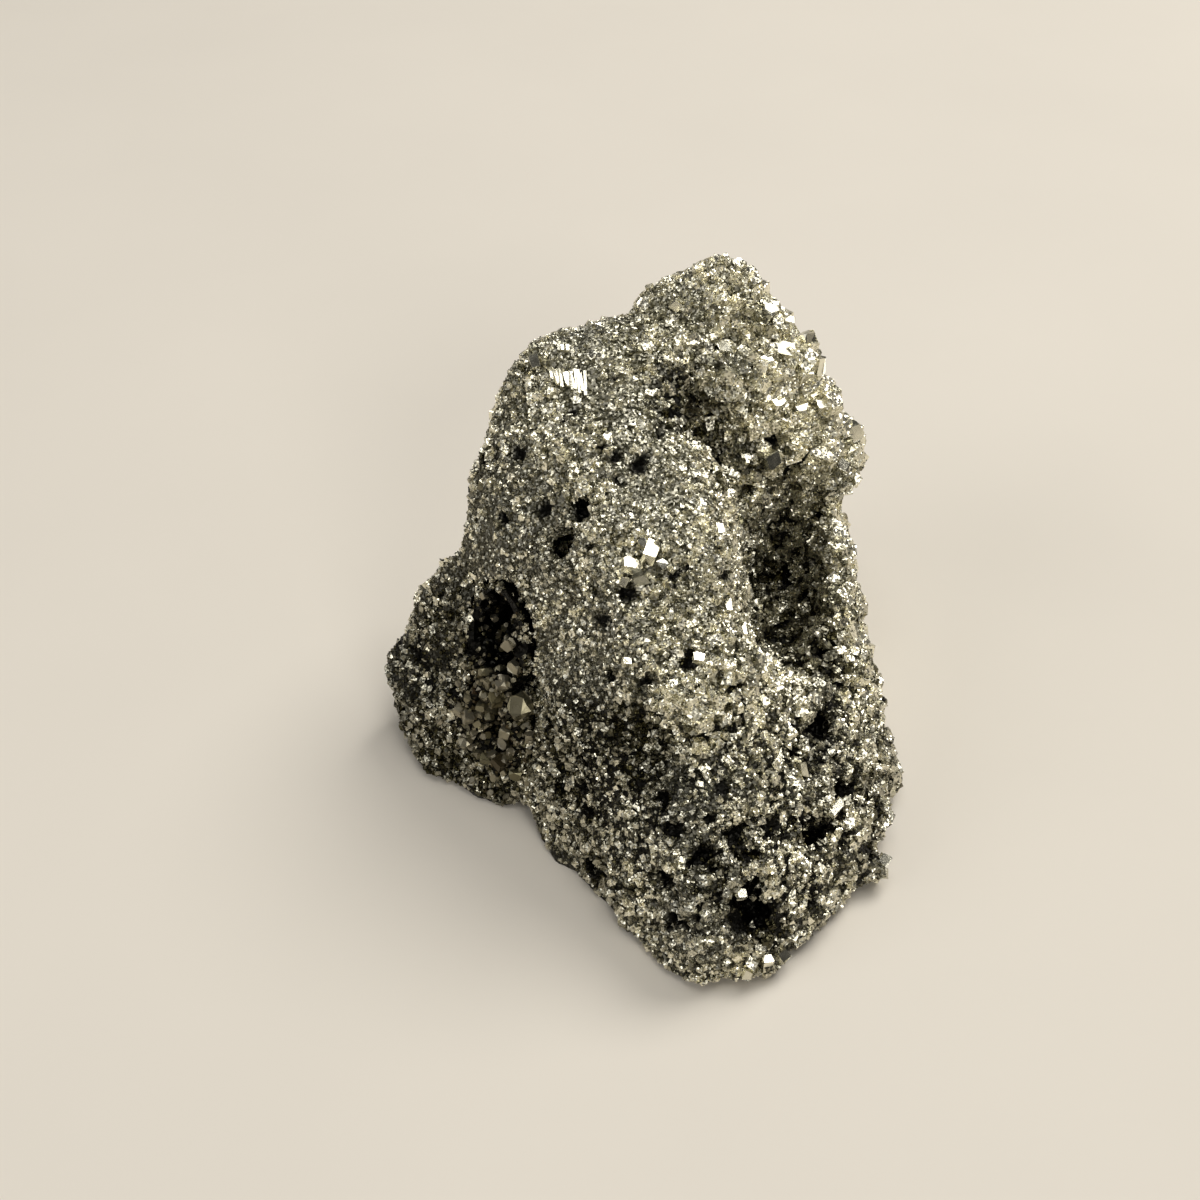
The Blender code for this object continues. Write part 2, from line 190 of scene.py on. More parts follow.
# How soon a dip between domes, a pit and a hollow of the broad form count in full.
DIP_GAIN = 1.2
DEEP_PIT_GAIN = 1.8
DEEP_PIT_LOSS = 0.6
HOLLOW_GAIN = 0.45
# How much the grains darken: with the drift at random, and in dips, in pits and in hollows as painted shade;
# and how much painted shade blackens the skin where it is rugged.
DRIFT_SHADE = 0.2
DIP_SHADE = 0.3
PIT_SHADE = 0.9
HOLLOW_SHADE = 0.3
RUGGED_GLOOM = 0.5
# How much the grains' size follows the drift and the specks.
COARSE_DRIFT = 0.35
COARSE_SPECK = 0.25
# How bare dips, specks and pits are, and the least growth outside pits.
DIP_BARE = 0.4
SPECK_BARE = 0.25
PIT_BARE = 1.1
LEAST_GROWTH = 0.05
# Stout crystals follow the specks and, past a start, the drift. Pits deeper than this have none. Around a
# standing crystal no grains grow within this share of its length.
STOUT_SPECK = 0.8
STOUT_DRIFT = 0.5
STOUT_DRIFT_FROM = 0.1
STOUT_PIT_LIMIT = 0.2
CLEARING = 0.5

# The druse's pieces: (name, first and last bearing in degrees, grain spacing in millimetres).
# A bearing is measured round this middle from the front, anticlockwise from above.
DRUSE_MIDDLE_MM = (6, 0)
DRUSE = [
    ("druse_front", -32, 22, 0.30),
    ("druse_front_right", 22, 75, 0.32),
    ("druse_right", 75, 140, 0.38),
    ("druse_back", 140, 215, 0.50),
    ("druse_left", 215, 275, 0.38),
    ("druse_front_left", 275, 328, 0.28),
]
# The power that makes large grains rare, and how deep crystals are sunk for their size.
GRAIN_RARITY = 2.6
GRAIN_SINK = 0.12
STOUT_SINK = 0.05
# The forms that grow: how far an octahedron's corners are from its middle, then seeds, how uneven the corners
# are, and how much of an edge is cut off them.
OCTAHEDRON_REACH = 0.62
GRAIN_FORM_SEED = 5
GRAIN_UNEVEN = 0.07
STOUT_FORM_SEED = 6
STOUT_UNEVEN = 0.05
STOUT_CUT = 0.22
VUG_FORM_SEED = 7
VUG_UNEVEN = 0.04
VUG_CUTS = (0.24, 0.34)
# Tries per spacing squared that fill a surface, how far a grown crystal is stretched each way, and the
# highest number drawn for its form, which goes round the forms again past the last one.
CROWDING = 3.2
STRETCH = (0.75, 1.3)
LAST_PICK = 99
# What each kind adds to the seed that the user sets.
STOUT_SEED = 20
VUG_SEED = 40
# The grains' stored shade is this where they have no tarnish and no painted shade, less where painted light
# makes them brighter still.
SHADE_ZERO = 0.3

# Crystals that stand out on the skin, in millimetres: (place, length, width, thickness, faces the light) and
# in some rows how bright the crystal is, 0-1.
STANDING = [
    ((4.4, -10.6, 46.6), 2.6, 1.6, 1.5, True, 1.0), ((6.6, -9.2, 46.6), 2.7, 1.8, 1.9, True, 1.0),
    ((5.6, -8.2, 47.4), 1.5, 1.1, 1.1, False, 0.7), ((8.0, -10.2, 45.4), 1.9, 1.4, 1.2, False, 0.3),
    ((5.6, -12.0, 44.8), 1.7, 1.5, 1.4, False, 0.1), ((3.2, -12.4, 44.2), 1.4, 1.0, 0.9, False, 0.4),
    ((24.3, 15.8, 42.9), 2.6, 2.3, 2.0, False, 0.25), ((24.2, 26.6, 61.1), 2.2, 1.8, 1.7, True),
    ((26.4, 24.5, 56.0), 2.8, 2.3, 1.9, True), ((29.4, 23.1, 52.9), 2.6, 2.1, 1.8, True),
    ((25.8, 18.8, 50.5), 2.0, 1.7, 1.6, True), ((29.1, 20.8, 48.5), 2.3, 2.0, 1.7, True),
    ((32.5, 23.0, 48.0), 2.5, 2.1, 1.9, True), ((33.5, 24.0, 53.0), 2.5, 2.1, 2.0, False),
    ((30.0, 27.0, 58.0), 2.5, 2.2, 2.0, False), ((37.8, 24.2, 42.0), 2.6, 2.2, 2.0, False),
    ((35.5, 20.5, 37.0), 2.1, 2.0, 1.8, False), ((21.0, 25.0, 57.5), 1.9, 1.6, 1.5, True),
    ((22.6, 26.4, 59.4), 1.5, 1.2, 1.2, True), ((27.8, 26.6, 59.8), 1.7, 1.5, 1.3, True),
    ((23.4, 22.4, 55.6), 1.8, 1.4, 1.4, True), ((31.8, 21.6, 50.8), 1.7, 1.5, 1.3, True),
    ((34.6, 22.6, 45.6), 1.8, 1.6, 1.5, True), ((27.2, 22.6, 53.8), 1.5, 1.3, 1.1, False),
    ((17.0, 22.0, 57.0), 1.7, 1.5, 1.3, True), ((27.3, -23.7, 20.0), 2.0, 1.7, 1.3, False),
    ((41.0, -4.0, 12.5), 1.5, 1.3, 1.1, False), ((39.0, -27.0, 4.0), 1.8, 1.6, 1.4, False, 0.5),
    ((22.2, -43.5, 4.3), 1.4, 1.2, 1.1, True), ((24.5, -42.5, 3.6), 1.7, 1.6, 1.4, False),
    ((19.5, -44.5, 3.6), 1.6, 1.4, 1.2, False), ((13.0, -19.5, 37.2), 1.4, 1.2, 1.1, True),
    ((14.6, -23.0, 34.6), 1.3, 1.1, 1.0, True), ((10.4, 26.0, 63.0), 1.7, 1.4, 1.2, False),
    ((3.0, -20.0, 37.0), 1.2, 1.0, 0.9, True), ((-9.0, 19.0, 58.0), 1.9, 1.6, 1.4, False),
    ((19.6, -41.6, 14.6), 1.3, 1.2, 1.0, True), ((33.6, -27.4, 16.4), 3.0, 1.2, 1.0, True),
]
# Sheaves of rods that lie side by side: (first place, last place, rods, length, width), in millimetres.
SHEAVES = [
    ((-7.0, 16.0, 58.2), (-1.9, 13.8, 57.4), 12, 4.0, 0.42),
    ((-3.8, 18.4, 60.0), (-5.8, 19.2, 60.4), 4, 1.5, 0.45),
    ((20.4, 15.4, 44.8), (21.3, 15.6, 44.4), 3, 4.0, 0.5),
    ((15.5, -6.1, 47.3), (16.0, -5.7, 47.4), 2, 2.2, 0.5),
    ((17.0, -13.4, 40.8), (17.6, -13.0, 40.9), 2, 2.2, 0.5),
    ((19.6, -13.2, 36.4), (20.2, -12.9, 36.5), 2, 2.4, 0.5),
    ((27.6, 28.2, 61.2), (28.6, 27.6, 60.0), 4, 2.6, 0.5),
]
SHEAF_SEED = 12
# How far a rod strays from its row in millimetres, and the range of its length.
ROD_STRAY_MM = 0.08
ROD_LENGTH = (0.6, 1.1)

# How uneven the standing crystals are, how much of their cut each has, how far the shining ones lean from
# the light, how far above the ground they stand, and the tones of those that have none of their own.
STANDING_UNEVEN = 0.05
CUT_RANGE = (0.4, 1.2)
SHINE_SPREAD = 0.08
LIFT_MM = 0.25
STANDING_TONES = (0.55, 1)

# Crystals listed one by one in the vug, in millimetres, as the rows of STANDING: (place, length, width,
# thickness, faces the light, tone).
VUG_STANDING = [
    ((-10.4, -5.8, 29.3), 1.7, 1.4, 1.1, True, 1.0), ((-12.0, -9.6, 25.4), 1.9, 1.4, 1.0, False, 0.85),
    ((-15.2, -7.6, 27.2), 2.5, 1.5, 1.0, False, 0.9), ((-11.2, -12.6, 20.6), 3.1, 2.8, 2.2, False, 0.6),
    ((-14.8, -9.6, 20.2), 2.0, 1.6, 1.2, False, 0.3), ((-15.4, -14.2, 10.2), 1.9, 1.7, 1.2, True, 0.15),
    ((-13.4, -11.6, 15.0), 1.7, 1.4, 1.1, False, 0.8), ((-19.0, -9.0, 15.4), 1.8, 1.4, 1.1, False, 0.9),
    ((-17.4, -12.6, 9.6), 1.6, 1.3, 1.0, True, 0.5), ((-22.0, -7.6, 16.4), 1.6, 1.2, 0.9, True, 0.9),
    ((-17.0, -9.4, 18.0), 1.8, 1.4, 1.0, False, 0.6), ((-16.6, -7.4, 23.0), 1.7, 1.3, 1.0, False, 0.6),
    ((-12.4, -15.0, 9.0), 1.7, 1.4, 1.1, False, 0.5), ((-20.2, -10.6, 11.0), 1.6, 1.3, 1.0, False, 0.8),
    ((-14.6, -13.2, 13.2), 1.0, 0.9, 0.7, True, 1.0), ((-18.6, -10.6, 12.8), 0.9, 0.8, 0.6, True, 1.0),
    ((-13.8, -10.4, 17.6), 0.9, 0.8, 0.6, True, 1.0),
]

# The vug's pocket is nearly bare above this height over the floor, and fully grown this far below it. Where it
# is bare, its black crust is painted as the pocket's shadow.
VUG_DARK_MM = 27.0
VUG_FADE_MM = 9.0
VUG_LEAST_GROWTH = 0.12
# Where the vug's mouth lies from the crust's middle, and how soon growth is full on faces that look at it.
VUG_MOUTH_MM = (-4, -9, 5)
VUG_FACING_GAIN = 4
# How dark the lip's grains are, by tarnish and painted shade, and how black the crust is painted as the
# pocket's shadow, both 0-1.
VUG_SHADE = 0.7
VUG_GLOOM = 1.0
# Crystals grow on the skin this near the crust, in patches: (size in millimetres, seed), and from which
# strength of the pattern on. None grow on the skin's lowest part.
VUG_RIM_MM = 1.7
RIM_PATCHES = (2.2, 41)
RIM_PATCH_FROM = 0.1
SPILL_FOOT_MM = 1.5
# Small grains grow on the crust this near the skin, where it faces this way by at least this much.
VUG_LIP_MM = 1.3
VUG_OUT = (-0.5, -0.7, 0.5)
VUG_OUT_FACING = 0.2
# Then their spacing, their sizes and how deep they are sunk.
LIP_SPACING_MM = 0.34
LIP_GRAIN_MM = (0.3, 1.1)
LIP_SINK = 0.1

# Where the vug's crystals spill over its rim: (place, reach), in millimetres.
VUG_SPILL = [((-21, -9, 15), 4.5), ((-17, -14, 7), 4.5), ((-11, -15, 8), 3.5), ((-22, -5, 22), 2.5)]

# The vug's grown crystals: (piece, ground, field that says where, shares of the spacing, of the smallest and
# of the largest size, rarity of large ones, how deep they are sunk).
VUG_GROWTH = [
    ("vug_large_crystals", "vug_lining", "growth", 1.0, 1.0, 1.0, 1.6, 0.15),
    ("vug_small_crystals", "vug_lining", "growth", 0.5, 0.4, 0.5, 1.0, 0.1),
    ("vug_spilt_crystals", "pyrite_skin", "spill", 0.55, 0.7, 1.1, 2.0, 0.1),
]

# The studio. The camera has the photograph's angle: it looks along +Y and down.
CAMERA_MM = (-5.6, -176.1, 187.3)
CAMERA_TILT = math.radians(48)
CAMERA_LENS = 49.5
SENSOR = 36
LOOK_AT = Vector((0.0, 0.0, 0.03))
# Lamps: (name, place, size, watts, colour).
LAMPS = [
    ("key", (0.60, 0.60, 1.15), 0.80, 11.8, (1.0, 0.98, 0.95)),
    ("fill", (-1.20, -0.40, 0.85), 1.00, 4.2, (0.98, 0.98, 1.0)),
    ("top", (0.05, -0.05, 1.50), 1.10, 7.2, (1.0, 0.99, 0.97)),
    ("front", (0.50, -1.20, 0.80), 0.60, 4.6, (1.0, 0.98, 0.95)),
]
SKY_COLOUR = (1.0, 0.97, 0.92)
SKY_STRENGTH = 0.07
FLOOR_REACH = 3.0
FLOOR_SHADE = 0.93

# The metals. Grains are clean by this power of their tone, grey where the drift passes a start, and glint
# through their tarnish and painted shade by another power and share of the tone. The last gain is how much the
# tarnish and painted shade darken them.
CLEAN_POWER = 1.6
COOL_FROM = 0.52
COOL_GAIN = 3.0
GLINT_POWER = 3.0
GLINT_SHARE = 0.9
TARNISH_AND_SHADE_GAIN = 1.4
# How rare bright cells are on the skin, how bright worn faces of standing crystals stay, the tone of the
# vug's olive crystals, and how much of their veil shows.
MATRIX_GLINT_POWER = 2.5
WORN_BRIGHTNESS = 0.35
OLIVE_TONE = 0.45
VEIL_SHARE = 0.5


def place(point_mm):
    """A place of the drawing, in the frame's metres."""
    return Vector((np.array(point_mm) + DRAWING_ORIGIN_MM) * MM)


def new_object(name, mesh):
    """An object of this mesh in the scene, at the origin."""
    obj = bpy.data.objects.new(name, mesh)
    bpy.context.scene.collection.objects.link(obj)
    return obj


def merged_copy(node, name):
    """A new object with a solid's shape, its loose triangles joined."""
    work = bmesh.new()
    work.from_mesh(frame["nodes"][node].data)
    bmesh.ops.remove_doubles(work, verts=work.verts, dist=MERGE_DISTANCE)
    corners = [v.co.copy() for v in work.verts]
    work.verts.index_update()
    faces = [[v.index for v in f.verts] for f in work.faces]
    work.free()
    mesh = bpy.data.meshes.new(name)
    mesh.from_pydata(corners, [], faces)
    return new_object(name, mesh)


def make_plain(obj):
    """Puts what the object's modifiers make of it in place of its mesh, and takes them off."""
    graph = bpy.context.evaluated_depsgraph_get()
    mesh = bpy.data.meshes.new_from_object(
        obj.evaluated_get(graph), preserve_all_data_layers=True, depsgraph=graph
    )
    obj.modifiers.clear()
    obj.data = mesh
    return mesh


def points_of(mesh):
    """The mesh's vertices as an array."""
    points = np.empty(len(mesh.vertices) * 3, np.float32)
    mesh.vertices.foreach_get("co", points)
    return points.reshape(-1, 3).astype(float)


def normals_of(mesh):
    """The mesh's vertex normals as an array."""
    normals = np.empty(len(mesh.vertices) * 3, np.float32)
    mesh.vertex_normals.foreach_get("vector", normals)
    return normals.reshape(-1, 3).astype(float)


def edges_of(mesh):
    """The mesh's edges as pairs of vertex numbers."""
    edges = np.empty(len(mesh.edges) * 2, np.int32)
    mesh.edges.foreach_get("vertices", edges)
    return edges.reshape(-1, 2)


def set_points(mesh, points):
    """Moves the mesh's vertices."""
    mesh.vertices.foreach_set("co", points.astype(np.float32).ravel())
    mesh.update()


def eased(values, edges, rounds, strength=0.5):
    """The values of the vertices, each drawn towards the mean of its neighbours."""
    starts = np.concatenate((edges[:, 0], edges[:, 1]))
    ends = np.concatenate((edges[:, 1], edges[:, 0]))
    count = np.bincount(starts, minlength=len(values))[:, None]
    for _ in range(rounds):
        sums = [np.bincount(starts, values[ends, k], len(values)) for k in range(values.shape[1])]
        values = values + strength * (np.stack(sums, 1) / count - values)
    return values


def set_field(mesh, name, values):
    """Stores one number per vertex on the mesh."""
    field = mesh.attributes.get(name) or mesh.attributes.new(name, "FLOAT", "POINT")
    field.data.foreach_set("value", np.clip(values, 0, 4).astype(np.float32))


def field_of(mesh, name):
    """The numbers stored on the mesh's vertices."""
    values = np.empty(len(mesh.vertices), np.float32)
    mesh.attributes[name].data.foreach_get("value", values)
    return values.astype(float)


def pattern(points, size_mm, seed):
    """Smooth noise of about -1 to 1 at each point."""
    scale = 1 / (size_mm * MM)
    shift = Vector((seed * 7.1, seed * 3.3, seed * 5.7))
    return np.array([noise.noise(Vector(p) * scale + shift) for p in points])


def domes(points, size_mm):
    """How near each point is to the middle of its dome: 1 there and 0 half a size away."""
    scale = 1 / (size_mm * MM)
    return np.array([1 - 2 * noise.voronoi(Vector(p) * scale)[0][0] for p in points])


def surface_of(mesh):
    """The mesh's faces as a tree that finds what is nearest."""
    return BVHTree.FromPolygons([v.co for v in mesh.vertices], [tuple(p.vertices) for p in mesh.polygons])


def within(points, mesh, reach_mm):
    """Which points lie this near the mesh's surface."""
    surface = surface_of(mesh)
    return np.array([surface.find_nearest(Vector(p), reach_mm * MM)[0] is not None for p in points])


def region_values(points):
    """The last five numbers of REGIONS at each point, mixed by nearness."""
    total = np.zeros((len(points), 5))
    weight = np.zeros((len(points), 1))
    for middle, reach, *numbers in REGIONS:
        far = np.linalg.norm(points - np.array(place(middle)), axis=1) / (reach * MM)
        near = np.exp(-far ** 2)[:, None] + FAR_PULL / (1 + far ** 4)[:, None]
        total += near * np.array(numbers)
        weight += near
    return total / weight


def bowl(points, normals, ragged, middle, out, width, height, turn):
    """How deep each point lies in a bowl pressed in at the middle: 1 at its deepest, 0 outside it."""
    across = Vector(out).orthogonal().normalized()
    across.rotate(Matrix.Rotation(turn, 3, out))
    along = Vector(out).cross(across)
    away = points - np.array(middle)
    away = away + away * ragged[:, None]
    flat = (away @ np.array(across) / (width / 2)) ** 2 + (away @ np.array(along) / (height / 2)) ** 2
    deep = np.abs(away @ np.array(out)) < BOWL_REACH * max(width, height)
    facing = normals @ np.array(out) > 0
    return np.where(deep & facing, np.sqrt(np.clip(1 - flat, 0, 1)), 0)


def press_pits(points, broad, outward, region):
    """Presses the named pits and many small ones. Returns the points and how deep in a pit each lies."""
    pits = []
    for middle, width, height, depth in PITS:
        at = np.argmin(np.linalg.norm(broad - np.array(place(middle)), axis=1))
        pits.append((at, width * PIT_WIDENING, height * PIT_WIDENING, depth * PIT_DEEPENING, 0))
    dice = np.random.default_rng(SMALL_PIT_SEED)
    share = region[:, 4] * (points[:, 2] > PITLESS_FOOT_MM * MM)
    for at in dice.choice(len(points), SMALL_PITS, replace=False, p=share / share.sum()):
        width = dice.uniform(*SMALL_PIT_REACH_MM) * 2
        height = width * dice.uniform(*SMALL_PIT_STRETCH)
        pits.append((at, width, height, width * SMALL_PIT_DEPTH, dice.uniform(0, math.pi)))
    in_pit = np.zeros(len(points))
    ragged = sum(strength * pattern(points, size, seed) for strength, size, seed in PIT_RAGGED)
    for at, width, height, depth, turn in pits:
        out = Vector(outward[at])
        deep = bowl(broad, outward, ragged, broad[at], out, width * MM, height * MM, turn)
        points = points - deep[:, None] * outward[at] * depth * MM
        in_pit = np.maximum(in_pit, deep)
    return points, in_pit


def flat_foot(points):
    """Keeps the underside flat and nothing below the floor."""
    height = points[:, 2]
    near_floor = FLAT_FOOT_MM * MM
    points[:, 2] = np.where(height < near_floor, 0, height)
    return points


def relief_of(points, region, drift):
    """The domes' relief alone and the skin's whole height at each point, in millimetres."""
    height = sum(
        pattern(points, size, k + 1) * rise * (smooth + (1 - smooth) * region[:, 4])
        for k, (size, rise, smooth) in enumerate(KNOBS_MM)
    )
    rugged = np.interp(region[:, 4], SMOOTH_TO_RUGGED, DOME_SHARE)
    relief = sum(np.clip(domes(points, size), DOME_DIP, 1) * rise for size, rise in DOMES_MM)
    relief *= rugged * np.clip(1 + DOME_DRIFT * drift, *DOME_RANGE)
    full = np.clip(points[:, 2] / (FULL_RELIEF_MM * MM), 0, 1)
    return relief, (height + relief - SKIN_SHRINK_MM) * full


def store_shades(mesh, region, drift, dips, in_pit, hollow):
    """Stores the grains' tarnish, painted shade and painted light, and the skin's painted shade."""
    hollow = np.clip(hollow * HOLLOW_GAIN, 0, 1)
    deep_pit = np.clip(DEEP_PIT_GAIN * in_pit - DEEP_PIT_LOSS, 0, 1)
    # Painted shade in dips, deep pits and hollows, on top of the regions' tarnish and painted shade.
    shade = region[:, 2] + DRIFT_SHADE * drift + DIP_SHADE * dips
    shade = shade + PIT_SHADE * deep_pit + HOLLOW_SHADE * hollow
    # Painted shade: the skin is blacker in dips, deep pits, hollows and rugged parts, where the gaps lie in
    # shade.
    rugged = RUGGED_GLOOM * (region[:, 4] - SMOOTH_TO_RUGGED[0])
    gloom = region[:, 2] + deep_pit + dips + rugged + hollow
    set_field(mesh, "shade", shade + SHADE_ZERO)
    set_field(mesh, "gloom", np.clip(gloom, 0, 1))


def store_growth(mesh, points, region, drift, speck, dips, in_pit):
    """Stores where grains and stout crystals grow, and how coarse they are."""
    set_field(mesh, "coarse", region[:, 0] * (1 + COARSE_DRIFT * drift + COARSE_SPECK * speck))
    bare = region[:, 1] + DIP_BARE * dips + np.clip(speck, 0, 1) * SPECK_BARE
    off_floor = points[:, 2] > GRAINLESS_FOOT_MM * MM
    growth = np.clip(1 - bare, LEAST_GROWTH, 1) * np.clip(1 - PIT_BARE * in_pit, 0, 1) * off_floor
    for middle, length, *_ in STANDING + sheaf_rows(random.Random(SHEAF_SEED)):
        away = np.linalg.norm(points - np.array(place(middle)), axis=1)
        growth[away < CLEARING * length * MM] = 0
    set_field(mesh, "growth", growth)
    drifted = STOUT_DRIFT * np.clip(drift - STOUT_DRIFT_FROM, 0, 1)
    stout = np.clip(region[:, 3] * (1 + STOUT_SPECK * speck) + drifted, 0, 1)
    off_floor = points[:, 2] > STOUTLESS_FOOT_MM * MM
    set_field(mesh, "stout", stout * (in_pit < STOUT_PIT_LIMIT) * off_floor)


def shape_skin(mesh):
    """Gives the even skin its knobs, domes and pits, and stores what grows where."""
    points = points_of(mesh)
    edges = edges_of(mesh)
    foot = points[:, 2] < FLAT_FOOT_MM * MM
    points = eased(points, edges, SKIN_ROUNDS)
    broad = eased(points, edges, BROAD_ROUNDS)
    set_points(mesh, broad)
    outward = normals_of(mesh)
    hollow = np.einsum("ij,ij->i", broad - points, outward) / MM
    region = region_values(points)
    drift = pattern(points, *DRIFT)
    speck = pattern(points, *SPECK)
    relief, height = relief_of(points, region, drift)
    set_points(mesh, points)
    points = points + normals_of(mesh) * (height * MM)[:, None]
    points, in_pit = press_pits(points, broad, outward, region)
    points[foot, 2] = 0
    points = flat_foot(points)
    set_points(mesh, points)
    dips = np.clip(-relief * (DIP_GAIN + drift), 0, 1)
    store_shades(mesh, region, drift, dips, in_pit, hollow)
    store_growth(mesh, points, region, drift, speck, dips, in_pit)


def socket_in(tree, name, kind, value=None):
    """A named input of a node group."""
    socket = tree.interface.new_socket(name, in_out="INPUT", socket_type=kind)
    if value is not None:
        socket.default_value = value
    return socket


def grow_node(tree, kind, inputs=None, **settings):
    """A new node. Each input is a plain value or the socket that feeds it."""
    node = tree.nodes.new(kind)
    for name, value in settings.items():
        setattr(node, name, value)
    for key, value in (inputs or {}).items():
        if isinstance(value, bpy.types.NodeSocket):
            tree.links.new(value, node.inputs[key])
        else:
            node.inputs[key].default_value = value
    return node


def maths(tree, operation, first, second, clamp=False):
    """One step of arithmetic."""
    node = grow_node(tree, "ShaderNodeMath", {0: first, 1: second}, operation=operation)
    node.use_clamp = clamp
    return node.outputs[0]


def scaled(tree, vector, share):
    """A vector made longer or shorter."""
    node = grow_node(tree, "ShaderNodeVectorMath", {0: vector, "Scale": share}, operation="SCALE")
    return node.outputs[0]


def random_value(tree, kind, low, high, seed):
    """A random number or vector for each crystal."""
    first, last, out = {"FLOAT_VECTOR": (0, 1, 0), "FLOAT": (2, 3, 1), "INT": (4, 5, 2)}[kind]
    node = grow_node(tree, "FunctionNodeRandomValue", {first: low, last: high, "Seed": seed}, data_type=kind)
    return node.outputs[out]


def crystal_tree():
    """Geometry Nodes that grow crystals from a surface, as many as its growth field allows."""
    tree = bpy.data.node_groups.new("crystal growth", "GeometryNodeTree")
    tree.interface.new_socket("Geometry", in_out="INPUT", socket_type="NodeSocketGeometry")
    socket_in(tree, "Forms", "NodeSocketCollection")
    socket_in(tree, "Growth", "NodeSocketString", "growth")
    socket_in(tree, "Spacing", "NodeSocketFloat", 0.6 * MM)
    socket_in(tree, "Smallest", "NodeSocketFloat", 0.5 * MM)
    socket_in(tree, "Largest", "NodeSocketFloat", 1.0 * MM)
    socket_in(tree, "Rarity", "NodeSocketFloat", 1.0)
    socket_in(tree, "Sink", "NodeSocketFloat", 0.2)
    socket_in(tree, "Seed", "NodeSocketInt", 1)
    socket_in(tree, "Material", "NodeSocketMaterial")
    tree.interface.new_socket("Geometry", in_out="OUTPUT", socket_type="NodeSocketGeometry")
    given = tree.nodes.new("NodeGroupInput").outputs
    growth = grow_node(tree, "GeometryNodeInputNamedAttribute", {"Name": given["Growth"]}, data_type="FLOAT")
    coarse = grow_node(tree, "GeometryNodeInputNamedAttribute", {"Name": "coarse"}, data_type="FLOAT")
    spread = grow_node(tree, "GeometryNodeDistributePointsOnFaces", {
        "Mesh": given["Geometry"],
        "Distance Min": given["Spacing"],
        "Density Max": maths(tree, "MULTIPLY", maths(tree, "POWER", given["Spacing"], -2.0), CROWDING),
        "Density Factor": growth.outputs["Attribute"],
        "Seed": given["Seed"],
    }, distribute_method="POISSON")
    luck = random_value(tree, "FLOAT", 0.0, 1.0, given["Seed"])
    size = grow_node(tree, "ShaderNodeMapRange", {
        "Value": maths(tree, "POWER", luck, given["Rarity"]),
        "To Min": given["Smallest"],
        "To Max": given["Largest"],
    })
    size = maths(tree, "MULTIPLY", size.outputs[0], coarse.outputs["Attribute"])
    depth = maths(tree, "MULTIPLY", maths(tree, "MULTIPLY", size, given["Sink"]), -1.0)
    sunk = grow_node(tree, "GeometryNodeSetPosition", {
        "Geometry": spread.outputs["Points"], "Offset": scaled(tree, spread.outputs["Normal"], depth),
    })
    forms = grow_node(tree, "GeometryNodeCollectionInfo", {
        "Collection": given["Forms"], "Separate Children": True, "Reset Children": True,
    })
    build = random_value(tree, "FLOAT_VECTOR", (STRETCH[0],) * 3, (STRETCH[1],) * 3, given["Seed"])
    crystals = grow_node(tree, "GeometryNodeInstanceOnPoints", {
        "Points": sunk.outputs[0],
        "Instance": forms.outputs[0],
        "Pick Instance": True,
        "Instance Index": random_value(tree, "INT", 0, LAST_PICK, given["Seed"]),
        "Rotation": random_value(tree, "FLOAT_VECTOR", (0, 0, 0), (math.tau,) * 3, given["Seed"]),
        "Scale": scaled(tree, build, size),
    })
    toned = grow_node(tree, "GeometryNodeStoreNamedAttribute", {
        "Geometry": crystals.outputs[0],
        "Name": "tone",
        "Value": random_value(tree, "FLOAT", 0.0, 1.0, given["Seed"]),
    }, data_type="FLOAT", domain="INSTANCE")
    real = grow_node(tree, "GeometryNodeRealizeInstances", {"Geometry": toned.outputs[0]})
    coated = grow_node(tree, "GeometryNodeSetMaterial", {
        "Geometry": real.outputs[0], "Material": given["Material"],
    })
    end = tree.nodes.new("NodeGroupOutput")
    tree.links.new(coated.outputs[0], end.inputs[0])
    return tree


def crystals_on(name, ground, tree, material, **inputs):
    """A new piece: the crystals that the tree grows on the ground's surface."""
    obj = new_object(name, ground.copy())
    change = obj.modifiers.new("growth", "NODES")
    change.node_group = tree
    inputs["Material"] = material
    for item in tree.interface.items_tree:
        if item.in_out == "INPUT" and item.name in inputs:
            change[item.identifier] = inputs[item.name]
    mesh = make_plain(obj)
    mesh.name = name
    if not len(mesh.polygons):
        raise RuntimeError(f"nothing grew on {name}")
    mesh.calc_loop_triangles()
    if len(mesh.loop_triangles) > PIECE_LIMIT:
        raise RuntimeError(f"{name} has {len(mesh.loop_triangles)} triangles")
    mesh.polygons.foreach_set("use_smooth", np.zeros(len(mesh.polygons), bool))
    points = points_of(mesh)
    points[:, 2] = np.maximum(points[:, 2], LEAST_HEIGHT)
    set_points(mesh, points)
    keep_fields(mesh, ("tone", "shade"))
    return obj


def keep_fields(mesh, names):
    """Takes every stored field off the mesh but these."""
    for field in list(mesh.attributes):
        if not field.is_internal and not field.is_required and field.name not in names:
            if field.name not in ("position", "sharp_face", "material_index"):
                mesh.attributes.remove(field)


def store_lining(mesh):
    """Stores where crystals grow in the vug: on faces that look at its mouth, below its dark pocket."""
    points = points_of(mesh)
    mouth = (points.min(0) + points.max(0)) / 2 + np.array(VUG_MOUTH_MM) * MM
    inward = mouth - points
    inward /= np.linalg.norm(inward, axis=1)[:, None]
    facing = np.einsum("ij,ij->i", inward, normals_of(mesh))
    below_dark = (VUG_DARK_MM * MM - points[:, 2]) / (VUG_FADE_MM * MM)
    growth = np.clip(facing * VUG_FACING_GAIN, 0, 1) * np.clip(below_dark, VUG_LEAST_GROWTH, 1)
    set_field(mesh, "growth", growth)
    set_field(mesh, "coarse", np.ones(len(points)))
    # The lip's grains get tarnish with painted shade, and the crust is painted black as the pocket's shadow.
    set_field(mesh, "shade", np.full(len(points), VUG_SHADE + SHADE_ZERO))
    set_field(mesh, "gloom", np.full(len(points), VUG_GLOOM))


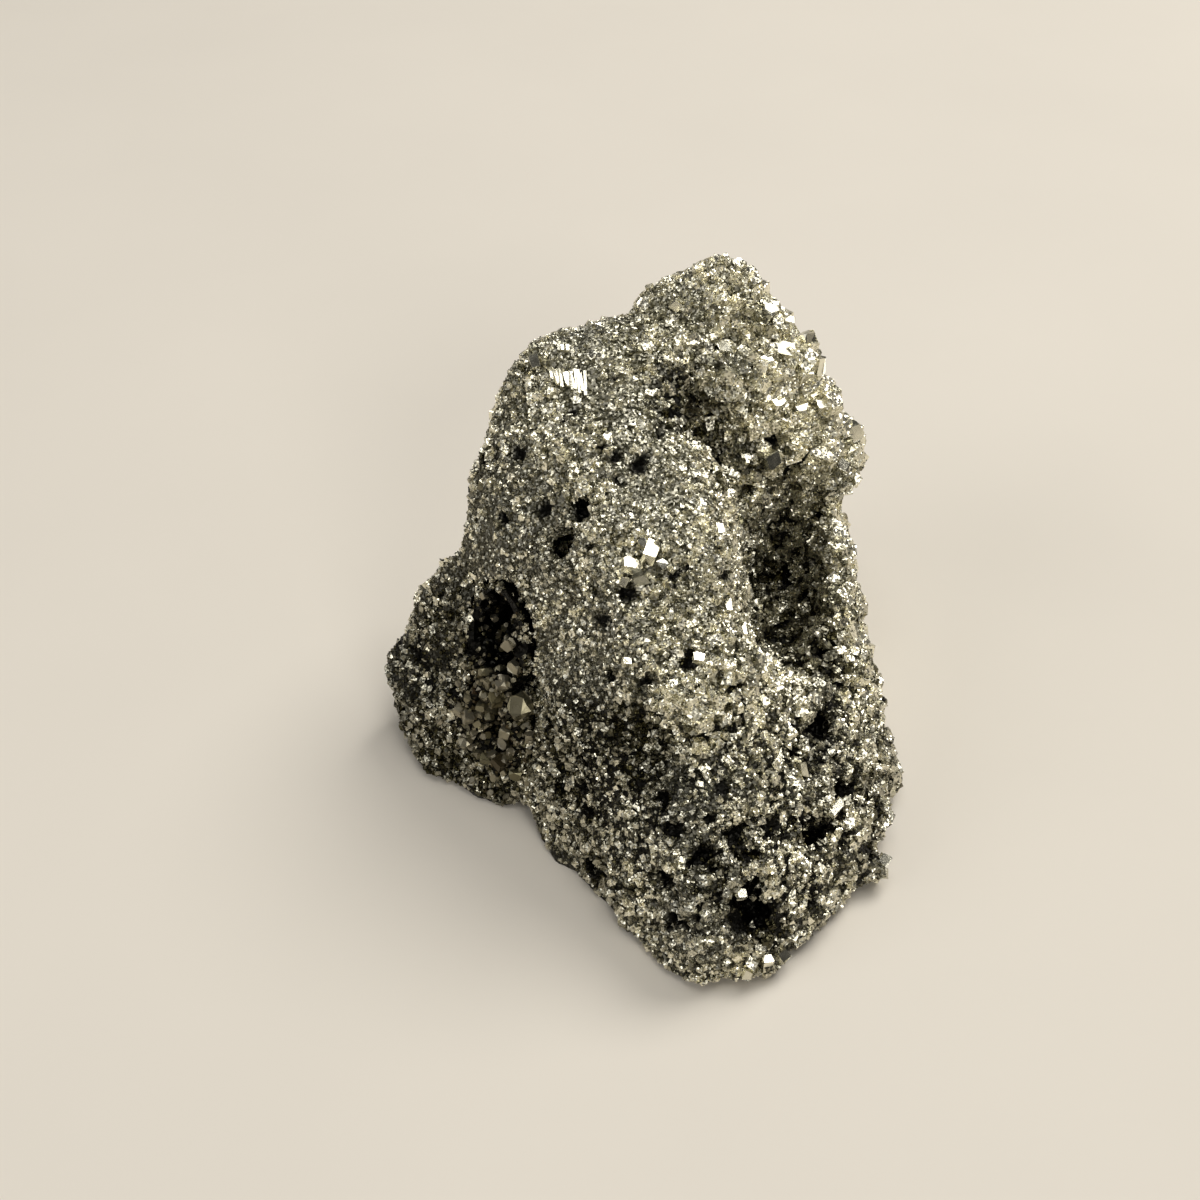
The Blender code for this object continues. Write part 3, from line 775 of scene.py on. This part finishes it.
def store_spill(skin, lining):
    """Stores where the vug's crystals spill over its rim onto the skin."""
    points = points_of(skin)
    spill = sum(
        np.exp(-(np.linalg.norm(points - np.array(place(middle)), axis=1) / (reach * MM)) ** 4)
        for middle, reach in VUG_SPILL
    )
    patch = pattern(points, *RIM_PATCHES) > RIM_PATCH_FROM
    spill += within(points, lining, VUG_RIM_MM) * patch * (points[:, 2] < VUG_DARK_MM * MM)
    set_field(skin, "spill", np.clip(spill, 0, 1) * (points[:, 2] > SPILL_FOOT_MM * MM))


def lip_of(lining, skin):
    """A copy of the lining that grows grains along its lip alone: near the skin, where it faces outward."""
    lip = lining.copy()
    outer = normals_of(lining) @ np.array(VUG_OUT)
    near = within(points_of(lining), skin, VUG_LIP_MM)
    set_field(lip, "growth", np.where(near & (outer > VUG_OUT_FACING), 1, 0))
    return lip


def cut_cube(cut):
    """A cube of edge 1 in a new bmesh, its corners cut off by this share of an edge."""
    work = bmesh.new()
    bmesh.ops.create_cube(work, size=1)
    if cut:
        bmesh.ops.bevel(work, geom=list(work.verts), offset=cut, segments=1, affect="VERTICES")
    return work


def octahedron():
    """An octahedron in a new bmesh."""
    work = bmesh.new()
    bmesh.ops.create_uvsphere(work, u_segments=4, v_segments=2, radius=OCTAHEDRON_REACH)
    return work


def crystal_forms(name, makers, seed, uneven):
    """A collection of uneven crystals to pick from."""
    dice = random.Random(seed)
    forms = bpy.data.collections.new(name)
    for number, maker in enumerate(makers):
        work = maker()
        for vert in work.verts:
            shift = Vector((dice.uniform(-1, 1), dice.uniform(-1, 1), dice.uniform(-1, 1)))
            vert.co += shift * uneven
        bmesh.ops.recalc_face_normals(work, faces=work.faces)
        mesh = bpy.data.meshes.new(f"{name}_{number}")
        work.to_mesh(mesh)
        work.free()
        forms.objects.link(bpy.data.objects.new(mesh.name, mesh))
    return forms


def grain_forms(name, each):
    """Small cubes and octahedra to pick from, this many of each."""
    return crystal_forms(
        name, [lambda: cut_cube(0)] * each + [octahedron] * each, GRAIN_FORM_SEED, GRAIN_UNEVEN
    )


def clear_forms(forms):
    """Removes a collection of crystal forms once they are used."""
    for obj in list(forms.objects):
        bpy.data.objects.remove(obj)
    bpy.data.collections.remove(forms)


def light_facing():
    """The direction of a face that shows the camera the key lamp."""
    to_camera = (Vector(CAMERA_MM) * MM - LOOK_AT).normalized()
    to_lamp = (Vector(LAMPS[0][1]) - LOOK_AT).normalized()
    return (to_camera + to_lamp).normalized()


def any_direction(dice):
    """A random direction, not yet of length 1."""
    return Vector((dice.gauss(0, 1), dice.gauss(0, 1), dice.gauss(0, 1)))


def sheaf_rows(dice):
    """The rods of the sheaves as rows of crystals that end in True. Their length points up in the view."""
    rows = []
    for first, last, rods, long, wide in SHEAVES:
        for k in range(rods):
            middle = Vector(first).lerp(Vector(last), k / (rods - 1)) + any_direction(dice) * ROD_STRAY_MM
            rows.append((middle, long * dice.uniform(*ROD_LENGTH), wide, wide, True, None, True))
    return rows


def stand_crystals(name, rows, ground, seed, cut, raised):
    """A new piece: listed crystals, each snapped to the ground and partly sunk in it."""
    dice = random.Random(seed)
    surface = surface_of(ground)
    bright = light_facing()
    up = Vector((0, math.sin(CAMERA_TILT), math.cos(CAMERA_TILT)))
    work = bmesh.new()
    tones = []
    for middle, length, width, thick, shines, *more in rows:
        is_rod = len(more) == 2
        spot, out, _, _ = surface.find_nearest(place(middle))
        form = cut_cube(0 if is_rod else cut * dice.uniform(*CUT_RANGE))
        for vert in form.verts:
            vert.co += any_direction(dice) * (0 if is_rod else STANDING_UNEVEN)
        side = bright + any_direction(dice) * SHINE_SPREAD if shines else any_direction(dice)
        across = side.cross(up if is_rod else any_direction(dice)).normalized()
        side.normalize()
        turn = Matrix((side.cross(across), across, side)).transposed().to_4x4()
        size = Matrix.Diagonal((length * MM, width * MM, thick * MM, 1))
        lift = Matrix.Translation(spot + out * (thick * raised + LIFT_MM) * MM)
        bmesh.ops.transform(form, matrix=lift @ turn @ size, verts=form.verts)
        piece = bpy.data.meshes.new("crystal")
        form.to_mesh(piece)
        form.free()
        work.from_mesh(piece)
        tone = more[0] if more and more[0] is not None else dice.uniform(*STANDING_TONES)
        tones += [tone] * len(piece.vertices)
        bpy.data.meshes.remove(piece)
    bmesh.ops.recalc_face_normals(work, faces=work.faces)
    mesh = bpy.data.meshes.new(name)
    work.to_mesh(mesh)
    work.free()
    set_field(mesh, "tone", np.array(tones))
    set_field(mesh, "shade", np.zeros(len(tones)))
    return new_object(name, mesh)


def new_material(name):
    """A node material, its tree, its Principled shader and its Object coordinates."""
    material = bpy.data.materials.new(name)
    material.use_nodes = True
    tree = material.node_tree
    where = grow_node(tree, "ShaderNodeTexCoord").outputs["Object"]
    return material, tree, tree.nodes["Principled BSDF"], where


def field_node(tree, name):
    """The value of a field stored on the piece."""
    return grow_node(tree, "ShaderNodeAttribute", attribute_name=name).outputs["Fac"]


def cloud_node(tree, where, scale, detail):
    """Soft cloudy noise over the piece, 0-1."""
    noises = grow_node(tree, "ShaderNodeTexNoise", {"Vector": where, "Scale": scale, "Detail": detail})
    return noises.outputs["Fac"]


def mixed(tree, share, first, second):
    """A colour between two."""
    node = grow_node(tree, "ShaderNodeMix", {0: share, 6: first, 7: second}, data_type="RGBA")
    return node.outputs[2]


def rgba(colour):
    """A colour with full alpha."""
    return (*colour, 1.0)


def speckled_normal(tree, where, size_mm, strength):
    """A normal that leans another way in each small cell, as the facets of tiny crystals do."""
    cells = grow_node(tree, "ShaderNodeTexVoronoi", {
        "Vector": where, "Scale": 1 / (size_mm * MM), "Randomness": 1.0,
    }, feature="F1", distance="EUCLIDEAN")
    lean = grow_node(tree, "ShaderNodeVectorMath", {
        0: cells.outputs["Color"], 1: (0.5, 0.5, 0.5),
    }, operation="SUBTRACT")
    total = grow_node(tree, "ShaderNodeVectorMath", {
        0: grow_node(tree, "ShaderNodeNewGeometry").outputs["Normal"],
        1: scaled(tree, lean.outputs[0], strength),
    }, operation="ADD")
    unit = grow_node(tree, "ShaderNodeVectorMath", {0: total.outputs[0]}, operation="NORMALIZE")
    return unit.outputs[0], grow_node(tree, "ShaderNodeSeparateColor", {0: cells.outputs["Color"]}).outputs


def bump(tree, height, strength, distance):
    """A normal that follows a low relief."""
    return grow_node(tree, "ShaderNodeBump", {
        "Strength": strength, "Distance": distance, "Height": height,
    }).outputs[0]


def finish_metal(tree, shader, colour, wear, roughness, normal, metallic):
    """Gives a metal its colour, a roughness that goes up with the wear between two values, and its relief."""
    rough = grow_node(tree, "ShaderNodeMapRange", {
        "Value": wear, "To Min": roughness[0], "To Max": roughness[1],
    })
    tree.links.new(colour, shader.inputs["Base Color"])
    tree.links.new(rough.outputs[0], shader.inputs["Roughness"])
    tree.links.new(normal, shader.inputs["Normal"])
    shader.inputs["Metallic"].default_value = metallic


def pyrite_material(colours):
    """The druse: brassy grey grains of their own tones, with tarnish, painted shade and painted light."""
    material, tree, shader, where = new_material("pyrite druse")
    tone = field_node(tree, "tone")
    shade = field_node(tree, "shade")
    normal, cell = speckled_normal(tree, where, size_mm=0.28, strength=0.8)
    # Above its zero the stored shade is tarnish with painted shade, which darkens the grains.
    tarnish_and_shade = maths(tree, "SUBTRACT", shade, SHADE_ZERO, True)
    # Below its zero the stored shade is painted light, which brightens the grains past their clean tone.
    painted_light = maths(tree, "SUBTRACT", SHADE_ZERO, shade, True)
    clean = maths(tree, "ADD", maths(tree, "POWER", tone, CLEAN_POWER), painted_light, True)
    grain = mixed(tree, clean, rgba(colours.dull_grain), rgba(colours.bright_grain))
    drift = cloud_node(tree, where, 70.0, 2.0)
    cool = maths(tree, "MULTIPLY", maths(tree, "SUBTRACT", drift, COOL_FROM), COOL_GAIN, True)
    grain = mixed(tree, cool, grain, rgba(colours.cool_grain))
    glint = maths(tree, "MULTIPLY", maths(tree, "POWER", tone, GLINT_POWER), GLINT_SHARE)
    dark = maths(tree, "SUBTRACT", maths(tree, "MULTIPLY", tarnish_and_shade, TARNISH_AND_SHADE_GAIN), glint, True)
    colour = mixed(tree, dark, grain, rgba(colours.tarnish_and_shade))
    finish_metal(tree, shader, colour, cell[0], (0.16, 0.42), normal, 1.0)
    return material


def skin_material(colours):
    """The dark metal between the grains, made black by painted shade where its gloom is high."""
    material, tree, shader, where = new_material("pyrite matrix")
    normal, cell = speckled_normal(tree, where, size_mm=0.34, strength=0.9)
    glint = maths(tree, "POWER", cell[2], MATRIX_GLINT_POWER)
    metal = mixed(tree, glint, rgba(colours.matrix), rgba(colours.bright_grain))
    # The gloom is painted shade, with some tarnish: it blackens the skin in pits, dips, hollows and the vug's
    # crust.
    colour = mixed(tree, field_node(tree, "gloom"), metal, rgba(colours.pit))
    finish_metal(tree, shader, colour, cell[1], (0.22, 0.6), normal, 0.85)
    return material


def standing_material(colours):
    """The large crystals: brighter, with fine striations across their faces."""
    material, tree, shader, where = new_material("standing crystals")
    lines = grow_node(tree, "ShaderNodeTexWave", {
        "Vector": where, "Scale": 2100.0, "Distortion": 3.0, "Detail": 2.0, "Detail Scale": 0.6,
    }, wave_type="BANDS", bands_direction="DIAGONAL")
    normal = bump(tree, lines.outputs["Fac"], 0.22, 0.00006)
    cloud = cloud_node(tree, where, 700.0, 3.0)
    kept = maths(tree, "ADD", cloud, WORN_BRIGHTNESS, True)
    bright = maths(tree, "MULTIPLY", field_node(tree, "tone"), kept)
    colour = mixed(tree, bright, rgba(colours.cool_grain), rgba(colours.bright_grain))
    finish_metal(tree, shader, colour, cloud, (0.08, 0.34), normal, 1.0)
    return material


def vug_material(colours):
    """The vug's crystals: olive to beige and brown, with flat faces that stay clean."""
    material, tree, shader, where = new_material("vug crystals")
    ramp = grow_node(tree, "ShaderNodeValToRGB", {0: field_node(tree, "tone")})
    stops = ramp.color_ramp.elements
    stops[0].color = rgba(colours.vug_brown)
    stops[1].color = rgba(colours.vug_beige)
    stops.new(OLIVE_TONE).color = rgba(colours.vug_olive)
    cloud = cloud_node(tree, where, 900.0, 3.0)
    veil = maths(tree, "MULTIPLY", cloud, VEIL_SHARE)
    colour = mixed(tree, veil, ramp.outputs[0], rgba(colours.tarnish_and_shade))
    finish_metal(tree, shader, colour, cloud, (0.18, 0.45), bump(tree, cloud, 0.25, 0.00005), 0.8)
    return material


def floor_material(colour):
    """A plain pale floor with a faint unevenness."""
    material, tree, shader, where = new_material("pale floor")
    deeper = tuple(FLOOR_SHADE * c for c in colour)
    shade = mixed(tree, cloud_node(tree, where, 14.0, 5.0), rgba(colour), rgba(deeper))
    tree.links.new(shade, shader.inputs["Base Color"])
    shader.inputs["Roughness"].default_value = 0.75
    shader.inputs["Specular IOR Level"].default_value = 0.2
    return material


def coat(obj, material):
    """Gives the piece one material."""
    obj.data.materials.clear()
    obj.data.materials.append(material)


def declare(obj, slot_name, *nodes):
    """Tells the frame what the piece rides on and hides the solids it stands for. The slot name is not used.
    """
    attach(obj, "root")
    if nodes:
        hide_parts(*nodes)


def length(name, description, default_mm):
    """A length that a user may change."""
    return FloatProperty(
        name=name, description=description, default=default_mm * MM, min=0.01 * MM, unit="LENGTH",
        precision=5,
    )


def colour(name, description, default):
    """A colour that a user may change."""
    return FloatVectorProperty(
        name=name, description=description, default=default, subtype="COLOR", size=3, min=0, max=1
    )


class SpecimenSizes(bpy.types.PropertyGroup):
    """Sizes of the skin, the grains and the crystals."""

    skin_step: length("Skin step", "Distance between the skin's points", 0.64)
    smallest_grain: length("Smallest grain", "Edge of the druse's smallest grains", 0.35)
    largest_grain: length("Largest grain", "Edge of the druse's largest grains", 1.5)
    stout_spacing: length("Stout crystal spacing", "Least distance between stout crystals", 1.3)
    smallest_stout: length("Smallest stout crystal", "Edge of the smallest stout crystals", 0.9)
    largest_stout: length("Largest stout crystal", "Edge of the largest stout crystals", 1.6)
    vug_spacing: length("Vug crystal spacing", "Least distance between the vug's crystals", 1.15)
    smallest_vug: length("Smallest vug crystal", "Edge of the vug's smallest crystals", 0.7)
    largest_vug: length("Largest vug crystal", "Edge of the vug's largest crystals", 1.6)
    seed: IntProperty(name="Seed", description="Which random growth is used", default=3)


class SpecimenColours(bpy.types.PropertyGroup):
    """Colours of the metal, of its tarnished coat and painted shade, and of the floor."""

    bright_grain: colour("Bright grain", "Pale brassy metal of clean grains", (1.0, 0.955, 0.77))
    dull_grain: colour("Dull grain", "Olive grey metal of duller grains", (0.150, 0.140, 0.075))
    cool_grain: colour("Cool grain", "Grey metal of smooth patches and worn faces", (0.34, 0.335, 0.285))
    # This colour is both tarnish and painted shade: the grains go towards it where they are tarnished or
    # painted dark.
    tarnish_and_shade: colour("Tarnish", "Brown to black coat in the hollows", (0.050, 0.044, 0.020))
    matrix: colour("Matrix", "Dark metal between the grains", (0.080, 0.074, 0.040))
    # This colour is painted shade: the skin goes towards it in pits, dips, hollows and the vug's crust.
    pit: colour("Pit", "Nearly black metal deep in a pit", (0.004, 0.0035, 0.002))
    vug_olive: colour("Vug olive", "Most of the vug's crystals", (0.15, 0.135, 0.07))
    vug_beige: colour("Vug beige", "The palest of the vug's crystals", (0.47, 0.425, 0.32))
    vug_brown: colour("Vug brown", "The rustiest of the vug's crystals", (0.06, 0.035, 0.018))
    floor: colour("Floor", "The pale floor", (0.80, 0.745, 0.65))


class SPECIMEN_OT_skin(bpy.types.Operator):
    """Draws the knobbly, pitted skin over the solid pyrite mass"""

    bl_idname = "specimen.skin"
    bl_label = "Skin"

    def execute(self, context):
        sizes = context.scene.specimen_sizes
        skin = merged_copy("pyrite_mass", "pyrite_skin")
        even = skin.modifiers.new("even", "REMESH")
        even.mode = "VOXEL"
        even.voxel_size = sizes.skin_step
        shape_skin(make_plain(skin))
        coat(skin, skin_material(context.scene.specimen_colours))
        declare(skin, "pyrite", "pyrite_mass")
        return {"FINISHED"}


class SPECIMEN_OT_druse(bpy.types.Operator):
    """Grows the small grains and the stout crystals on the skin"""

    bl_idname = "specimen.druse"
    bl_label = "Druse"

    def execute(self, context):
        sizes = context.scene.specimen_sizes
        metal = pyrite_material(context.scene.specimen_colours)
        skin = bpy.data.objects["pyrite_skin"]
        tree = crystal_tree()
        grains = grain_forms("grain", 3)
        points = points_of(skin.data)
        middle = place((*DRUSE_MIDDLE_MM, 0))
        bearing = np.degrees(np.arctan2(points[:, 0] - middle.x, middle.y - points[:, 1])) % 360
        growth = field_of(skin.data, "growth")
        for number, (name, first, last, spacing) in enumerate(DRUSE):
            inside = (bearing - first) % 360 < last - first
            set_field(skin.data, "growth", growth * inside)
            piece = crystals_on(
                name, skin.data, tree, metal, Forms=grains, Growth="growth", Spacing=spacing * MM,
                Smallest=sizes.smallest_grain, Largest=sizes.largest_grain, Rarity=GRAIN_RARITY,
                Sink=GRAIN_SINK, Seed=sizes.seed + number,
            )
            declare(piece, "pyrite")
        set_field(skin.data, "growth", growth)
        makers = [lambda: cut_cube(STOUT_CUT)] * 2 + [octahedron, lambda: cut_cube(0)]
        stout = crystal_forms("stout", makers, STOUT_FORM_SEED, STOUT_UNEVEN)
        piece = crystals_on(
            "stout_crystals", skin.data, tree, metal, Forms=stout, Growth="stout",
            Spacing=sizes.stout_spacing, Smallest=sizes.smallest_stout, Largest=sizes.largest_stout,
            Sink=STOUT_SINK, Seed=sizes.seed + STOUT_SEED,
        )
        declare(piece, "pyrite")
        clear_forms(grains)
        clear_forms(stout)
        return {"FINISHED"}


class SPECIMEN_OT_standing_crystals(bpy.types.Operator):
    """Stands the large listed crystals on the skin"""

    bl_idname = "specimen.standing_crystals"
    bl_label = "Standing crystals"

    def execute(self, context):
        skin = bpy.data.objects["pyrite_skin"]
        rows = STANDING + sheaf_rows(random.Random(SHEAF_SEED))
        piece = stand_crystals("standing_crystals", rows, skin.data, seed=8, cut=0.2, raised=0.1)
        coat(piece, standing_material(context.scene.specimen_colours))
        declare(piece, "pyrite")
        return {"FINISHED"}


class SPECIMEN_OT_vug(bpy.types.Operator):
    """Lines the vug with its crust, painted black as the pocket's shadow, and flat-faced crystals"""

    bl_idname = "specimen.vug"
    bl_label = "Vug"

    def execute(self, context):
        sizes = context.scene.specimen_sizes
        skin = bpy.data.objects["pyrite_skin"].data
        lining = merged_copy("vug_crystals", "vug_lining")
        store_lining(lining.data)
        store_spill(skin, lining.data)
        tree = crystal_tree()
        metal = vug_material(context.scene.specimen_colours)
        makers = [lambda cut=cut: cut_cube(cut) for cut in VUG_CUTS] + [octahedron]
        forms = crystal_forms("vug_form", makers, VUG_FORM_SEED, VUG_UNEVEN)
        pieces = []
        for number, (name, ground, field, apart, small, large, rarity, sink) in enumerate(VUG_GROWTH):
            pieces.append(crystals_on(
                name, bpy.data.objects[ground].data, tree, metal, Forms=forms, Growth=field,
                Spacing=apart * sizes.vug_spacing, Smallest=small * sizes.smallest_vug,
                Largest=large * sizes.largest_vug, Rarity=rarity, Sink=sink,
                Seed=sizes.seed + VUG_SEED + number,
            ))
        lip = lip_of(lining.data, skin)
        grains = grain_forms("lip_grain", 2)
        pieces.append(crystals_on(
            "vug_lip_grains", lip, tree, bpy.data.materials["pyrite druse"], Forms=grains, Growth="growth",
            Spacing=LIP_SPACING_MM * MM, Smallest=LIP_GRAIN_MM[0] * MM, Largest=LIP_GRAIN_MM[1] * MM,
            Rarity=GRAIN_RARITY, Sink=LIP_SINK, Seed=sizes.seed + VUG_SEED + len(VUG_GROWTH),
        ))
        bpy.data.meshes.remove(lip)
        clear_forms(grains)
        clear_forms(forms)
        picked = stand_crystals(
            "vug_picked_crystals", VUG_STANDING, lining.data, seed=9, cut=0.3, raised=0.35
        )
        coat(picked, metal)
        coat(lining, bpy.data.materials["pyrite matrix"])
        declare(lining, "vug_pyrite", "vug_crystals")
        for piece in (*pieces, picked):
            declare(piece, "vug_pyrite")
        return {"FINISHED"}


class SPECIMEN_OT_stage(bpy.types.Operator):
    """Sets the pale floor, the soft lamps and the camera"""

    bl_idname = "specimen.stage"
    bl_label = "Stage"

    def execute(self, context):
        scene = context.scene
        mesh = bpy.data.meshes.new("floor")
        rim = [(FLOOR_REACH * x, FLOOR_REACH * y, 0) for x, y in ((-1, -1), (1, -1), (1, 1), (-1, 1))]
        mesh.from_pydata(rim, [], [(0, 1, 2, 3)])
        floor = new_object("floor", mesh)
        coat(floor, floor_material(scene.specimen_colours.floor))
        for name, spot, size, watts, tint in LAMPS:
            lamp = bpy.data.lights.new(name, "AREA")
            lamp.shape = "DISK"
            lamp.size = size
            lamp.energy = watts
            lamp.color = tint
            stand = bpy.data.objects.new(name, lamp)
            stand.location = spot
            stand.rotation_euler = (LOOK_AT - Vector(spot)).to_track_quat("-Z", "Y").to_euler()
            scene.collection.objects.link(stand)
        world = bpy.data.worlds.new("studio")
        world.use_nodes = True
        sky = world.node_tree.nodes["Background"]
        sky.inputs["Color"].default_value = rgba(SKY_COLOUR)
        sky.inputs["Strength"].default_value = SKY_STRENGTH
        scene.world = world
        scene.view_settings.view_transform = "Standard"
        camera = bpy.data.cameras.new("camera")
        camera.lens = CAMERA_LENS
        camera.sensor_width = SENSOR
        camera.clip_start = 0.01
        viewer = bpy.data.objects.new("camera", camera)
        viewer.location = Vector(CAMERA_MM) * MM
        viewer.rotation_euler = (CAMERA_TILT, 0, 0)
        scene.collection.objects.link(viewer)
        scene.camera = viewer
        return {"FINISHED"}


OPERATORS = (
    SPECIMEN_OT_skin,
    SPECIMEN_OT_druse,
    SPECIMEN_OT_standing_crystals,
    SPECIMEN_OT_vug,
    SPECIMEN_OT_stage,
)


class SPECIMEN_PT_panel(bpy.types.Panel):
    """The specimen's sizes, colours and steps"""

    bl_idname = "SPECIMEN_PT_panel"
    bl_label = "Pyrite specimen"
    bl_space_type = "VIEW_3D"
    bl_region_type = "UI"
    bl_category = "Pyrite"

    def draw(self, context):
        for group in (context.scene.specimen_sizes, context.scene.specimen_colours):
            box = self.layout.box()
            for name in group.__annotations__:
                box.prop(group, name)
        for operator in OPERATORS:
            self.layout.operator(operator.bl_idname)


CLASSES = (SpecimenSizes, SpecimenColours, *OPERATORS, SPECIMEN_PT_panel)


def register():
    """Adds the settings, the operators and the panel to Blender."""
    for item in CLASSES:
        bpy.utils.register_class(item)
    bpy.types.Scene.specimen_sizes = PointerProperty(type=SpecimenSizes)
    bpy.types.Scene.specimen_colours = PointerProperty(type=SpecimenColours)


def unregister():
    """Takes them away again."""
    del bpy.types.Scene.specimen_colours
    del bpy.types.Scene.specimen_sizes
    for item in reversed(CLASSES):
        bpy.utils.unregister_class(item)


def corners(box):
    """A box's two corners as plain lists of numbers."""
    return [[float(c) for c in corner] for corner in box]


def main():
    """Builds the specimen and its studio."""
    register()
    bpy.ops.specimen.skin()
    bpy.ops.specimen.druse()
    bpy.ops.specimen.standing_crystals()
    bpy.ops.specimen.vug()
    bpy.ops.specimen.stage()
    bpy.context.view_layer.update()


if __name__ == "__main__":
    main()
